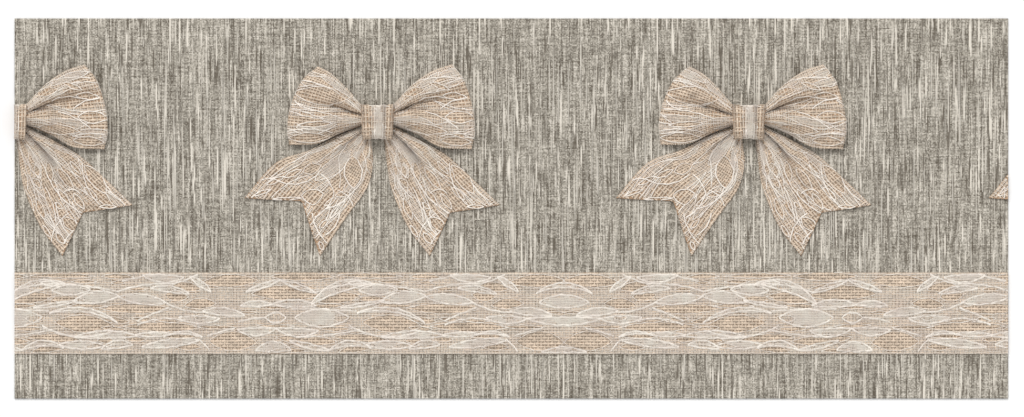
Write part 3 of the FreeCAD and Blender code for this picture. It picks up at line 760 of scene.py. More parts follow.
def lace(name, ribbon, settings, origin, lines, gaps, filled=(), spread=1.0, seed=0, own=None):
    """The lace of a ribbon: cords along lines, net but for the gaps, and closer net in what is filled.
    The ribbon's own leaves, gaps and cords lie flat in it and stay out of the other gaps."""
    rng = np.random.RandomState(seed)
    pitch = settings.net_pitch * spread / MM
    cord_paths, edge_paths = [], []
    for x, y, size in lines:
        a, b = ribbon.find(x + origin[0], y + origin[1])
        u, v = a * ribbon.length, b * ribbon.width
        thick = np.clip(1.0 + 0.2 * rng.standard_normal(len(x)), 0.6, 1.5) * ribbon.room(u, v, 0.6)
        cord_paths += path_on(ribbon, u, v, CORD_LIFT + 0.06 * rng.rand(),
                              (0.8 if size > 1.0 else size) * thick)
        for off in (-0.8, 0.8) if size > 1.0 else ():
            edge_paths += path_on(ribbon, u, v + off, NET_LIFT + 0.16, 0.8 * thick)

    def within(shapes, points, a):
        """Whether points on the upper side lie in shapes, seen from above."""
        x, y = points[:, 0] - origin[0], points[:, 1] - origin[1]
        found = np.zeros(len(a), bool)
        for shape in shapes:
            found |= in_leaf(shape, x, y)
        return found & (a * ribbon.rows >= ribbon.upper)

    leaves, own_gaps, cords = own or ((), (), ())
    for x, y, _ in outlines(leaves, 1.0) + [(*arc(*cord), 1.0) for cord in cords]:
        v = y + ribbon.width / 2.0
        thick = np.clip(0.7 + 0.2 * rng.standard_normal(len(x)), 0.5, 1.3) * ribbon.room(x, v, 0.55)
        cord_paths += path_on(ribbon, x, v, CORD_LIFT, thick, lambda p, a: ~within(gaps, p, a))

    def flat_in(shapes, u, v):
        """Whether flat places on the ribbon lie in shapes."""
        found = np.zeros(len(v), bool)
        for shape in shapes:
            found |= in_leaf(shape, u, v - ribbon.width / 2.0)
        return found

    across, along_it = [], []
    v = np.minimum(np.arange(0.0, ribbon.width + 1.0, 2.3), ribbon.width)
    for k, u in enumerate(np.arange(pitch / 2.0, ribbon.length, pitch / 2.0)):
        wander = 0.35 * ripple(np.full_like(v, u), v, 14.0, seed + 2)
        net = ~flat_in(own_gaps, u, v) | flat_in(leaves, u, v)
        if k % 2 == 0:
            across += path_on(ribbon, u + wander, v, NET_LIFT + 0.1, 1.0,
                              lambda p, a: net & ~within(gaps, p, a))
        elif filled:
            across += path_on(ribbon, u + wander, v, NET_LIFT + 0.1, 1.3, lambda p, a: within(filled, p, a))
        elif own:
            solid = flat_in(leaves, u, v)
            across += path_on(ribbon, u + wander, v, NET_LIFT + 0.1, 1.2,
                              lambda p, a: solid & ~within(gaps, p, a))
    u = np.minimum(np.arange(0.0, ribbon.length + 1.0, 2.4), ribbon.length)
    for k, v in enumerate(np.arange(pitch, ribbon.width, 1.7 * pitch)):
        v = v + 0.4 * ripple(u, np.full_like(u, v), 17.0, seed + 3)
        room, shown = ribbon.shown(k, u, v)
        shown = shown & (~flat_in(own_gaps, u, v) | flat_in(leaves, u, v))
        along_it += path_on(ribbon, u, v, NET_LIFT, 0.9 * room, lambda p, a: shown & ~within(gaps, p, a))
    paints = materials()
    width = settings.net_thread
    return [
        threads(name + "_cord", cord_paths, settings.cord_width, 0.5 * MM, paints["Lace cord"], 5),
        threads(name + "_net", across, width, 0.25 * MM, paints["Lace net"], 3),
        threads(name + "_net_along", along_it + edge_paths, width, 0.25 * MM, paints["Lace net"], 3),
    ]


def repeated(shapes):
    """Shapes of the pattern over the whole band: twice, and both turned about the seam."""
    start = CLOTH_LENGTH / 2.0 - PATTERN_START
    both = [moved(shape, start + shift) for shape in shapes for shift in (-PATTERN, 0.0)]
    return both + [turned(shape, start + PATTERN) for shape in both]


def turned(leaf, seam):
    """A leaf or cord, turned about the seam."""
    x0, y0, x1, y1, *bulges = leaf
    return (2.0 * seam - x1, y1, 2.0 * seam - x0, y0, *bulges)


def moved(leaf, shift):
    """A leaf or cord, moved along the ribbon."""
    x0, y0, x1, y1, *bulges = leaf
    return (x0 + shift, y0, x1 + shift, y1, *bulges)


def outlines(leaves, size):
    """Lines round both edges of leaves, with the size of their cord."""
    return [(*arc(*leaf[:4], bulge), size) for leaf in leaves for bulge in (leaf[4], -leaf[5])]


# ---------------------------------------------------------------- Cloth, hem and slubs


def build_cloth(settings):
    """The runner cloth: its panel, rounded folded edge and mitred hem underneath, as one closed sheet."""
    half = np.array([CLOTH_LENGTH, CLOTH_WIDTH]) / 2.0
    hem, layer = settings.hem / MM, settings.layer / MM
    under = CLOTH_TOP - layer
    x = np.linspace(-1.0, 1.0, 185)
    y = np.linspace(-1.0, 1.0, 71)
    edge = [(p, -1.0) for p in x[:-1]] + [(1.0, q) for q in y[:-1]]
    edge += [(p, 1.0) for p in x[:0:-1]] + [(-1.0, q) for q in y[:0:-1]]
    edge = np.array(edge)
    bend = CLOTH_TOP / 2.0
    rings = [(hem + 1.5, CLOTH_TOP), (hem, CLOTH_TOP), (hem - 1.5, CLOTH_TOP)]
    rings += [(bend * (1 - math.sin(t)), bend * (1 + math.cos(t))) for t in np.linspace(0.0, math.pi, 9)]
    rings += [(hem - 0.4, 0.0), (hem, 0.15), (hem, layer - 0.15), (hem - 0.4, layer)]
    rings += [(1.2, layer), (0.9, (layer + under) / 2.0), (1.2, under)]
    points, faces = [], []
    inner = half - rings[0][0]
    gx, gy = np.meshgrid(x * inner[0], y * inner[1], indexing="ij")
    top = np.stack([gx, gy, np.full_like(gx, CLOTH_TOP)], axis=-1).reshape(-1, 3)
    points.append(top)
    faces += quads(len(x), len(y))
    index = {}
    for i in range(len(x)):
        for j in range(len(y)):
            index[(round(x[i], 6), round(y[j], 6))] = i * len(y) + j
    previous = [index[(round(p, 6), round(q, 6))] for p, q in edge]
    first = len(top)
    for inset, height in rings[1:]:
        ring = np.column_stack([edge * (half - inset), np.full(len(edge), height)])
        points.append(ring)
        current = list(range(first, first + len(edge)))
        for k in range(len(edge)):
            n = (k + 1) % len(edge)
            faces.append((previous[k], current[k], current[n], previous[n]))
        previous, first = current, first + len(edge)
    bottom_half = half - rings[-1][0]
    bx, by = np.meshgrid(x[1:-1] * bottom_half[0], y[1:-1] * bottom_half[1], indexing="ij")
    bottom = np.stack([bx, by, np.full_like(bx, under)], axis=-1).reshape(-1, 3)
    points.append(bottom)
    inner_index = {(round(x[i + 1], 6), round(y[j + 1], 6)): first + i * (len(y) - 2) + j
                   for i in range(len(x) - 2) for j in range(len(y) - 2)}
    outer_index = {(round(p, 6), round(q, 6)): previous[k] for k, (p, q) in enumerate(edge)}
    both = {**inner_index, **outer_index}
    for i in range(len(x) - 1):
        for j in range(len(y) - 1):
            corners = [(i, j), (i, j + 1), (i + 1, j + 1), (i + 1, j)]
            faces.append(tuple(both[(round(x[a], 6), round(y[b], 6))] for a, b in corners))
    piece = finish_mesh("slub_cloth", np.vstack(points), faces, materials()["Slub cloth"])
    right_way_out(piece)
    return piece


def slub_tree():
    """Scatters slubs over the cloth: flat yarns that taper at both ends, of random length, width and tone."""
    tree = bpy.data.node_groups.new("Slubs on cloth", "GeometryNodeTree")
    tree.interface.new_socket("Geometry", in_out="INPUT", socket_type="NodeSocketGeometry")
    for name, kind in (("Count", "NodeSocketInt"), ("Seed", "NodeSocketInt"),
                       ("Half Length", "NodeSocketFloat"), ("Half Width", "NodeSocketFloat"),
                       ("Height", "NodeSocketFloat"), ("Shortest", "NodeSocketFloat"),
                       ("Longest", "NodeSocketFloat"), ("Narrowest", "NodeSocketFloat"),
                       ("Widest", "NodeSocketFloat"), ("Material", "NodeSocketMaterial")):
        tree.interface.new_socket(name, in_out="INPUT", socket_type=kind)
    tree.interface.new_socket("Slubs", in_out="OUTPUT", socket_type="NodeSocketGeometry")
    add, link = tree.nodes.new, tree.links.new
    given, result = add("NodeGroupInput"), add("NodeGroupOutput")

    def chance(low, high, offset):
        node = add("FunctionNodeRandomValue")
        node.data_type = "FLOAT"
        shift = add("ShaderNodeMath")
        shift.operation = "ADD"
        shift.inputs[1].default_value = offset
        link(given.outputs["Seed"], shift.inputs[0])
        link(shift.outputs[0], node.inputs["Seed"])
        for value, socket in ((low, node.inputs[2]), (high, node.inputs[3])):
            if isinstance(value, str):
                link(given.outputs[value], socket)
            else:
                socket.default_value = value
        return node.outputs[1]

    def maths(operation, first, second):
        node = add("ShaderNodeMath")
        node.operation = operation
        for value, socket in ((first, node.inputs[0]), (second, node.inputs[1])):
            if isinstance(value, (int, float)):
                socket.default_value = value
            else:
                link(value, socket)
        return node.outputs[0]

    length = chance("Shortest", "Longest", 1)
    x = maths("MULTIPLY", chance(-1.0, 1.0, 2), maths("SUBTRACT", given.outputs["Half Length"], 0.0015))
    free = maths("SUBTRACT", maths("SUBTRACT", given.outputs["Half Width"], 0.001),
                 maths("MULTIPLY", length, 0.5))
    y = maths("MULTIPLY", chance(-1.0, 1.0, 3), free)
    place = add("ShaderNodeCombineXYZ")
    points = add("GeometryNodePoints")
    keep = add("GeometryNodeStoreNamedAttribute")
    link(x, place.inputs["X"])
    link(y, place.inputs["Y"])
    link(given.outputs["Height"], place.inputs["Z"])
    link(given.outputs["Count"], points.inputs["Count"])
    link(place.outputs["Vector"], points.inputs["Position"])
    line = add("GeometryNodeCurvePrimitiveLine")
    radius = add("GeometryNodeSetCurveRadius")
    thick = add("ShaderNodeMath")
    resample = add("GeometryNodeResampleCurve")
    factor = add("GeometryNodeSplineParameter")
    circle = add("GeometryNodeCurvePrimitiveCircle")
    line.inputs["Start"].default_value = (0.0, -0.5, 0.0)
    line.inputs["End"].default_value = (0.0, 0.5, 0.0)
    resample.inputs["Count"].default_value = 7
    circle.inputs["Resolution"].default_value = 6
    circle.inputs["Radius"].default_value = 0.5
    thick.operation = "SINE"
    link(maths("MULTIPLY_ADD", factor.outputs["Factor"], 3.0), thick.inputs[0])
    link(line.outputs["Curve"], resample.inputs["Curve"])
    link(resample.outputs["Curve"], radius.inputs["Curve"])
    sweep = add("GeometryNodeCurveToMesh")
    sweep.inputs["Fill Caps"].default_value = True
    link(resample.outputs["Curve"], sweep.inputs["Curve"])
    link(circle.outputs["Curve"], sweep.inputs["Profile Curve"])
    link(maths("MAXIMUM", thick.outputs[0], 0.12), sweep.inputs["Scale"])
    scatter, size = add("GeometryNodeInstanceOnPoints"), add("ShaderNodeCombineXYZ")
    link(chance("Narrowest", "Widest", 4), size.inputs["X"])
    link(length, size.inputs["Y"])
    size.inputs["Z"].default_value = 0.00035
    link(points.outputs["Points"], scatter.inputs["Points"])
    link(sweep.outputs["Mesh"], scatter.inputs["Instance"])
    link(size.outputs["Vector"], scatter.inputs["Scale"])
    keep.data_type = "FLOAT"
    keep.domain = "INSTANCE"
    keep.inputs["Name"].default_value = "tone"
    link(scatter.outputs["Instances"], keep.inputs["Geometry"])
    link(chance(0.0, 1.0, 5), keep.inputs["Value"])
    join = add("GeometryNodeRealizeInstances")
    smooth = add("GeometryNodeSetShadeSmooth")
    paint = add("GeometryNodeSetMaterial")
    link(keep.outputs["Geometry"], join.inputs["Geometry"])
    link(join.outputs["Geometry"], smooth.inputs["Geometry"])
    link(smooth.outputs["Geometry"], paint.inputs["Geometry"])
    link(given.outputs["Material"], paint.inputs["Material"])
    link(paint.outputs["Geometry"], result.inputs["Slubs"])
    return tree


def build_slubs(settings):
    """The raised slub yarns on the cloth."""
    piece = finish_mesh("slub_yarns", np.zeros((1, 3)), [])
    modifier = piece.modifiers.new("Slubs", "NODES")
    modifier.node_group = slub_tree()
    set_inputs(modifier, {
        "Count": settings.slubs, "Seed": settings.seed, "Half Length": CLOTH_LENGTH / 2.0 * MM,
        "Half Width": CLOTH_WIDTH / 2.0 * MM, "Height": CLOTH_TOP * MM, "Shortest": 7.0 * MM,
        "Longest": 70.0 * MM, "Narrowest": 0.4 * MM, "Widest": 1.2 * MM, "Material": materials()["Slub yarn"],
    })
    return settle(piece, "slub_yarns")


# ---------------------------------------------------------------- Stitches


def stitches(name, spots, length, width, height, bury=0.3, lie=(0.0, 0.0, 1.0)):
    """Short stitches that dip into the cloth at both ends. A spot is (centre in mm, direction)."""
    p = np.linspace(-0.5, 0.5, 6)
    lie = np.array(lie)
    paths = []
    for centre, direction in spots:
        points = np.array(centre) + p[:, None] * length * np.array(direction)
        points = points - lie * (bury * (2.0 * np.abs(p[:, None])) ** 3)
        paths.append((points, np.tile(lie, (6, 1)), 1.0 - 0.3 * np.abs(2.0 * p) ** 2, np.zeros(6)))
    return threads(name, paths, width * MM, height * MM, materials()["Sewing thread"], 6)


def rectangle_spots(half_x, half_y, height, pitch):
    """Places of stitches round a rectangle, and the way each one runs."""
    spots = []
    for x in np.arange(-half_x + pitch, half_x - pitch / 2.0, pitch):
        spots += [((x, side * half_y, height), (1.0, 0.0, 0.0)) for side in (-1, 1)]
    for y in np.arange(-half_y + pitch, half_y - pitch / 2.0, pitch):
        spots += [((side * half_x, y, height), (0.0, 1.0, 0.0)) for side in (-1, 1)]
    return spots


# ---------------------------------------------------------------- Band


def build_band(ribbon_settings, lace_settings):
    """The jute band with its lace and its stitches."""
    def place(a, b):
        x = BAND_LOW[0] + a * CLOTH_LENGTH
        y = BAND_HIGH[1] - b * BAND_WIDTH
        return np.stack([x, y, CLOTH_TOP + 0.02 + 0.0 * x], axis=-1)

    band = Ribbon(place, CLOTH_LENGTH, BAND_WIDTH, 366, 30)
    # Base sheet in painted shade, seen between the yarns
    base = base_cloth("band_base", band, materials()["Painted jute shade"], 184, 16)
    yarns = weave("band", band, ribbon_settings, 3)
    leaves = repeated(LEAVES) + [moved(leaf, CLOTH_LENGTH / 2.0 - PATTERN_START) for leaf in SEAM_LEAVES]
    gaps = repeated(GAPS)
    lines = outlines(leaves, 2.0) + outlines(gaps, 0.5) + [(*arc(*cord), 2.0) for cord in repeated(CORDS)]
    net = lace("band_lace", band, lace_settings, (BAND_LOW[0], BAND_MIDDLE), lines, gaps, leaves, 1.0, 5)
    edges = []
    for x in np.arange(-CLOTH_LENGTH / 2.0 + 1.75, CLOTH_LENGTH / 2.0 - 1.0, 3.5):
        rows = (BAND_LOW[1] + 2.0, BAND_HIGH[1] - 2.0)
        edges += [((x, y, CLOTH_TOP + 1.12), (1.0, 0.0, 0.0)) for y in rows]
    along_edges = stitches("band_stitches", edges, 2.4, 0.5, 0.3, 0.25)
    ends = [((side * (CLOTH_LENGTH / 2.0 - 2.2), BAND_MIDDLE + 8.375 * k, CLOTH_TOP + 1.15), (1.0, 0.0, 0.0))
            for side in (-1, 1) for k in range(-4, 5)]
    overcast = stitches("band_end_stitches", ends, 4.0, 0.6, 0.35, 0.3)
    return base, yarns, net, along_edges, overcast


# ---------------------------------------------------------------- Bows

BEND = 13.8
# Each loop and tail lists fold lines along which shade is painted into its colour
LOOPS = {
    "left_loop": {
        "back": [(-11, 12), (-27, 31), (-40, 44), (-52, 50.5)],
        "front": [(-11, -2.4), (-33, -10.6), (-54, -20), (-78.5, -21)],
        "end": [(-52, 50.5), (-66.5, 38), (-76, 18), (-80, -2), (-78.5, -21)],
        "root_folds": [(0, -4), (0.12, -0.5), (0.3, 1.5), (0.41, 0), (0.47, -6), (0.53, 0.8), (0.65, 1.5),
                       (0.85, 0), (1, -4.5)],
        "end_folds": [(0, -8), (0.1, -2), (0.25, 0.2), (0.38, -3), (0.5, -6), (0.62, 0.8), (0.8, -0.5),
                      (1, -8)],
        "creases": [(0.47, 0.58, 0.05, 0.03, 0.45, 1.0), (0.4, 0.42, 0.08, 0.1, 0.85, 0.5),
                    (1.0, 1.0, 0.12, 0.05, 0.7, 0.9), (0.88, 0.85, 0.1, 0.12, 0.9, 0.35)],
        "gaps": [(-75, 27, -24, 22, 8, 8), (-80, -14, -42, -14, 4.5, 4.5), (-72, -3, -40, -1, 2.5, 2.5)],
        "cords": [(-68, 38, -20, 14, 5), (-76, 11, -30, 3, 2), (-74, 20, -60, 12, -3),
                  (-80, -8, -40, -9, 2)],
    },
    "right_loop": {
        "back": [(14.5, 12), (33, 33), (52, 46.5), (69.5, 52.5)],
        "front": [(14.5, -1.5), (38, -11), (60, -23), (87.5, -25)],
        "end": [(69.5, 52.5), (81, 37), (88.5, 13), (90.5, -8), (87.5, -25)],
        "root_folds": [(0, -4), (0.12, 0), (0.26, 1.5), (0.33, 0.5), (0.39, -5.5), (0.46, 1), (0.6, 2),
                       (0.85, 0), (1, -4.5)],
        "end_folds": [(0, -8), (0.1, -1.5), (0.25, 0.2), (0.38, -4.5), (0.5, -4), (0.62, 0.8), (0.8, -0.5),
                      (1, -8)],
        "creases": [(0.39, 0.52, 0.05, 0.03, 0.55, 1.0), (0.33, 0.38, 0.08, 0.12, 0.9, 0.5),
                    (1.0, 1.0, 0.12, 0.05, 0.65, 0.9), (0.85, 0.8, 0.1, 0.12, 0.9, 0.35)],
        "gaps": [(26, 24, 46, 30, 4, 3), (50, 36, 68, 30, 2, 2), (62, 25, 84, 22, 4, 3),
                 (64, 4, 91, 3, 6, 4.5), (28, -4, 66, -9, 4.5, 4), (60, -16, 88, -18, 4, 4)],
        "cords": [(25, 29, 75, 40, 5), (60, 12, 89, 22, 3), (46, 9, 76, -6, 2), (60, -13, 89, -12, 2),
                  (40, 20, 66, 22, 3)],
    },
}
# Each tail lists fold lines along which shade is painted into its colour
TAILS = {
    "left_tail": {
        "back": [(-12, -4.4), (-38, -14.4), (-62, -26.5), (-92, -38), (-120.5, -70)],
        "front": [(-5, -15), (-2.5, -38), (-8, -61), (-27, -88), (-51, -123.5)],
        "notch": (-67.8, -73),
        "root_folds": [(0, 1), (0.12, 4), (0.22, 3.5), (0.29, 0.2), (0.38, 4.5), (0.6, 4.2), (0.7, 1.5),
                       (0.8, 3.5), (0.92, 3), (1, 0.5)],
        "end_folds": [(0, 0.1), (0.15, 1.2), (0.4, 0.2), (0.6, 1), (0.8, 1.4), (1, 0.1)],
        "creases": [(0.29, 0.3, 0.07, 0.05, 0.4, 1.0), (0.34, 0.4, 0.1, 0.1, 0.65, 0.25),
                    (0.8, 0.7, 0.06, 0.05, 0.2, 0.6)],
        "gaps": [(-21, -31, -20, -61, 8, 8), (-68, -68, -48, -66, 5, 9), (-67, -46, -50, -40, 5, 5),
                 (-84, -51, -68, -44, 2.5, 2.5), (-37, -68, -23, -66, 3, 2), (-8, -32, -3, -50, 3, 3),
                 (-47, -77, -36, -70, 2, 2), (-100, -58, -84, -50, 2, 2), (-112, -68, -96, -62, 1.5, 1.5),
                 (-95, -71, -68, -70, 1, 1.5), (-52, -98, -44, -90, 2, 2), (-52, -110, -48, -118, 2, 2)],
        "cords": [(-21, -31, -20, -61, 8.5), (-21, -31, -20, -61, -8.5), (-92, -53, -52, -47, -7),
                  (-34, -34, -33, -61, 1), (-12, -27, -20, -63, 7), (-20, -63, -46, -80, 3),
                  (-35, -63, -21, -77, 3), (-50, -48, -38, -66, 2), (-38, -66, -56, -88, 3),
                  (-33, -84, -46, -104, 3), (-58, -84, -44, -112, -3), (-110, -56, -92, -53, 2),
                  (-16, -14, -34, -34, -2), (-10, -18, -12, -27, 1)],
    },
    "right_tail": {
        "back": [(14.5, -3.8), (42, -17.5), (65, -30.5), (91, -54), (114.5, -76.5)],
        "front": [(8, -14), (10.8, -38), (15, -62), (30, -97), (50, -123.5)],
        "notch": (69, -83.5),
        "root_folds": [(0, 1), (0.12, 4), (0.24, 3.5), (0.32, 0), (0.42, 4.5), (0.6, 4), (0.68, 1.5),
                       (0.78, 3.5), (0.9, 3.5), (1, 0.5)],
        "end_folds": [(0, 0.1), (0.15, 1.2), (0.42, 0.2), (0.6, 1), (0.8, 1.3), (1, 0.1)],
        "creases": [(0.3, 0.4, 0.09, 0.06, 0.5, 1.0), (0.38, 0.45, 0.1, 0.1, 0.7, 0.4),
                    (0.97, 0.95, 0.1, 0.04, 0.22, 0.9)],
        "gaps": [(26, -38, 27, -51, 3, 3), (22, -52, 30, -61, 3, 2), (17, -38, 20, -50, 2, 2),
                 (36, -36, 40, -55, 3, 3), (45, -42, 60, -62, 3.5, 3.5), (57, -36, 67, -48, 2, 2),
                 (70, -40, 90, -66, 7, 5), (46, -62, 57, -76, 2.5, 2.5), (60, -66, 70, -80, 3, 3),
                 (70, -60, 82, -72, 3, 2), (26, -70, 34, -90, 3, 3), (14, -60, 24, -82, 2, 2),
                 (43, -74, 50, -80, 2, 2), (50, -88, 64, -100, 5, 5), (44, -102, 52, -112, 3, 2.5),
                 (32, -95, 39, -106, 2, 2), (84, -78, 100, -78, 1.5, 1.5)],
        "cords": [(30, -20, 68, -52, -2), (68, -38, 84, -76, -4), (33, -40, 68, -84, -6),
                  (20, -24, 30, -52, -6), (30, -52, 22, -38, -4), (76, -35, 106, -70, 3),
                  (26, -37, 27, -52, 4), (20, -50, 34, -70, -2), (34, -60, 44, -92, 2),
                  (40, -110, 56, -84, 4), (50, -66, 66, -66, 4), (14, -44, 18, -62, 2),
                  (52, -112, 64, -98, 2), (88, -54, 104, -72, -2), (16, -20, 24, -33, 2),
                  (44, -74, 56, -104, -3)],
    },
}


KNOT_GAPS = [(-8, -30, -8, 30, 4.5, 4.5), (13, -30, 13, 30, 3.5, 3.5)]
KNOT_FILL = [(2.5, -30, 2.5, 30, 5, 5)]
KNOT_CORDS = [(-3, -15, -2, 15, 2), (8.5, -15, 8, 15, -1.5), (-1, 12, 9, 2, 1), (-2, 2, 8, 13, -1),
              (0, -14, 2, 0, 1.5), (6, -14, 5, 1, -1.5), (-6, 14, 13, 13, 1)]


def mean_length(points):
    """Mean length along a grid of points."""
    return float(np.linalg.norm(np.diff(points, axis=0), axis=-1).sum(axis=0).mean())


def creases(lines, u, v):
    """How deep places lie in painted crease shade. Each fold line runs from v to v, with a width at the knot
    and at its end, so far along, and so strong."""
    total = np.zeros(u.shape)
    for first, last, width, end_width, reach, strength in lines:
        off = 1.7 * (v - first - (last - first) * u / reach) / (width + (end_width - width) * u / reach)
        total += strength * np.exp(-(off**2)) * np.clip(1.0 - u / reach, 0.0, 1.0) ** 0.7
    return np.clip(total, 0.0, 0.96)[..., None]


def loop_ribbon(x, shape, width):
    """A puffed loop: its underside out from the knot, a round bend, and its top back to the knot."""
    angles = np.linspace(0.0, math.pi / 2.0, 240)
    run = np.hypot(np.diff(62.0 * np.sin(angles)), np.diff(BEND / 2.0 * np.cos(angles) ** 0.7))
    share = np.concatenate([[0.0], np.cumsum(run)]) / run.sum()

    def place(a, b):
        angle = np.interp(1.0 - np.abs(2.0 * a - 1.0), share, angles)
        u = np.sin(angle)
        plan = inside(shape, u, b)
        near = (1.0 - u) ** 1.6
        high = 10.0 * near + BEND * (1.0 - near)
        high = high + folds(shape["root_folds"], b) * (1.0 - u) ** 0.9 + folds(shape["end_folds"], b) * u**1.3
        low = near * 4.0 + (1.0 - near) * 1.3
        side = np.where(a > 0.5, 1.0, -1.0)
        z = (high + low) / 2.0 + side * (high - low) / 2.0 * np.cos(angle) ** 0.7
        z = z + 0.5 * ripple(plan[..., 0], plan[..., 1], 22.0, 11) * u * (a > 0.5)
        return np.stack([x + plan[..., 0], BOW_Y + plan[..., 1], CLOTH_TOP + z], axis=-1)

    ribbon = Ribbon(place, 1.0, width, 160, 72)
    ribbon.length, ribbon.upper = mean_length(ribbon.points), 80
    a, b = np.meshgrid(np.linspace(0, 1, 161), np.linspace(0, 1, 73), indexing="ij")
    u = np.sin(np.interp(1.0 - np.abs(2.0 * a - 1.0), share, angles))
    # Painted shade along the loop's folds, on its upper side only
    ribbon.crease = creases(shape["creases"], u, b) * (a[..., None] > 0.5)
    return ribbon if ribbon.normals[-20:, :, 2].mean() > 0 else ribbon.flip()


def notch_end(shape):
    """Share along a tail, for each share across it, where its end is cut in a V."""
    u, v = np.meshgrid(np.linspace(0.3, 1, 200), np.linspace(0.1, 0.9, 200), indexing="ij")
    gap = np.linalg.norm(inside(shape, u, v) - np.array(shape["notch"], float), axis=-1)
    k = np.unravel_index(np.argmin(gap), gap.shape)
    return lambda b: np.interp(b, [0.0, v[k], 1.0], [1.0, u[k], 1.0])


def tail_ribbon(x, shape, width):
    """A tail that lies on the cloth, gathered at the knot and cut in a V at its end."""
    def place(a, b):
        plan = inside(shape, a, b)
        near = (1.0 - a) ** 1.8
        rise = np.clip(a / 0.12, 0.0, 1.0)
        root = folds(shape["root_folds"], b) * (0.35 + 0.65 * rise)
        z = 0.1 + near * root + (1.0 - near) * folds(shape["end_folds"], b)
        z = z + 0.25 * (1.0 + ripple(plan[..., 0], plan[..., 1], 26.0, 4)) * a
        return np.stack([x + plan[..., 0], BOW_Y + plan[..., 1], CLOTH_TOP + z], axis=-1)

    ribbon = Ribbon(place, 1.0, width, 100, 72, notch_end(shape))
    ribbon.length = mean_length(ribbon.points)
    a, b = np.meshgrid(np.linspace(0, 1, 101), np.linspace(0, 1, 73), indexing="ij")
    # Painted shade along the tail's folds
    ribbon.crease = creases(shape["creases"], a, b)
    return ribbon if ribbon.normals[..., 2].mean() > 0 else ribbon.flip()


def bow_lace(name, ribbon, settings, x, shape, seed):
    """Lace on a loop or tail, with its own cords and gaps."""
    lines = [(*arc(*cord), 1.0) for cord in shape["cords"]] + outlines(shape["gaps"], 0.8)
    shift = -float(seed % 90)
    own = [[moved(item, shift) for item in items] for items in (LEAVES, GAPS, CORDS)]
    return lace(name, ribbon, settings, (x, BOW_Y), lines, shape["gaps"], (), BOW_NET, seed, own)


def knot_ribbon(x, low, high, still):
    """The ribbon wrapped round a knot, from the start of its turn underneath. It is drawn in at the front,
    towards what stays still."""
    def place(a, b):
        angle = -math.pi / 2.0 - 2.0 * math.pi * a
        across = low + (high - low) * b
        waist = 1.0 + 0.05 * np.cos(2.0 * math.pi * (across - 1.75) / 30.0 + math.pi)
        crease = 0.35 * np.cos(across * 2.0 * math.pi / 7.0 + 1.2 * np.sin(angle))
        half_y, half_z = 14.6 * waist + crease, 7.35 * waist + 0.6 * crease
        across = still + (across - still) * (1.0 - 0.07 * (1.0 - np.cos(angle)))
        y = half_y * np.sign(np.cos(angle)) * np.abs(np.cos(angle)) ** 0.85
        z = KNOT_MIDDLE + half_z * np.sign(np.sin(angle)) * np.abs(np.sin(angle)) ** 0.85
        return np.stack([x + across, BOW_Y + y, z], axis=-1)

    ribbon = Ribbon(place, KNOT_TURN, high - low, 120, 24)
    a, b = np.meshgrid(np.linspace(0, 1, 121), np.linspace(0, 1, 25), indexing="ij")
    # Painted shade along both side edges of the knot's ribbon and a line 0.72 across it, stronger on one part
    # of the turn
    sides = np.exp(-((b / 0.07) ** 2)) + np.exp(-(((1.0 - b) / 0.07) ** 2))
    sides = sides + 0.8 * np.exp(-(((b - 0.72) / 0.05) ** 2))
    ribbon.crease = (0.6 * sides * (0.5 + 0.5 * np.cos(2.0 * math.pi * (a - 0.62))))[..., None]
    top = ribbon.points[60, 12, 2] > ribbon.points[0, 12, 2]
    outward = ribbon.normals[60, 12, 2] > 0
    return ribbon if top == outward else ribbon.flip()


def gathered_middle(name, x, low, high):
    """The bunched ribbons that the knot holds: a ridged bundle."""
    turns, rows = 84, 9
    angle = np.linspace(0.0, 2.0 * math.pi, turns, endpoint=False)
    ridge = 1.0 + 0.09 * np.cos(13.0 * angle) + 0.05 * np.cos(22.0 * angle + 1.0)
    points, faces = [], quads(rows, turns, 0, True)
    for k, share in enumerate(np.linspace(0.0, 1.0, rows)):
        swell = 1.0 - 0.08 * math.sin(math.pi * share)
        y = 11.6 * swell * ridge * np.cos(angle)
        z = 5.2 * swell * ridge * np.sin(angle)
        across = np.full(turns, x + low + (high - low) * share)
        points.append(np.stack([across, BOW_Y + y, KNOT_MIDDLE + z], axis=-1))
    count = rows * turns
    caps = np.array([[x + low, BOW_Y, KNOT_MIDDLE], [x + high, BOW_Y, KNOT_MIDDLE]])
    last = (rows - 1) * turns
    for k in range(turns):
        n = (k + 1) % turns
        faces.append((count, n, k))
        faces.append((count + 1, last + k, last + n))
    piece = finish_mesh(name, np.vstack([*points, caps]), faces, materials()["Jute warp"])
    right_way_out(piece)
    return piece


def binding(name, x, low, high):
    """The thread wound round the gathered middle."""
    turn = np.linspace(0.0, 4.0, 4 * 40 + 1)
    angle = 2.0 * math.pi * turn
    points = np.stack([x + low + (high - low) * turn / 4.0, BOW_Y + 13.1 * np.cos(angle),
                       KNOT_MIDDLE + 6.1 * np.sin(angle)], axis=-1)
    lie = np.stack([np.zeros_like(angle), np.cos(angle), np.sin(angle)], axis=-1)
    # The binding thread is painted half way towards crease shade all along
    path = (points, lie, np.ones_like(angle), 0.5 * np.ones_like(angle))
    return threads(name, [path], 0.8 * MM, 0.8 * MM, materials()["Sewing thread"], 6)


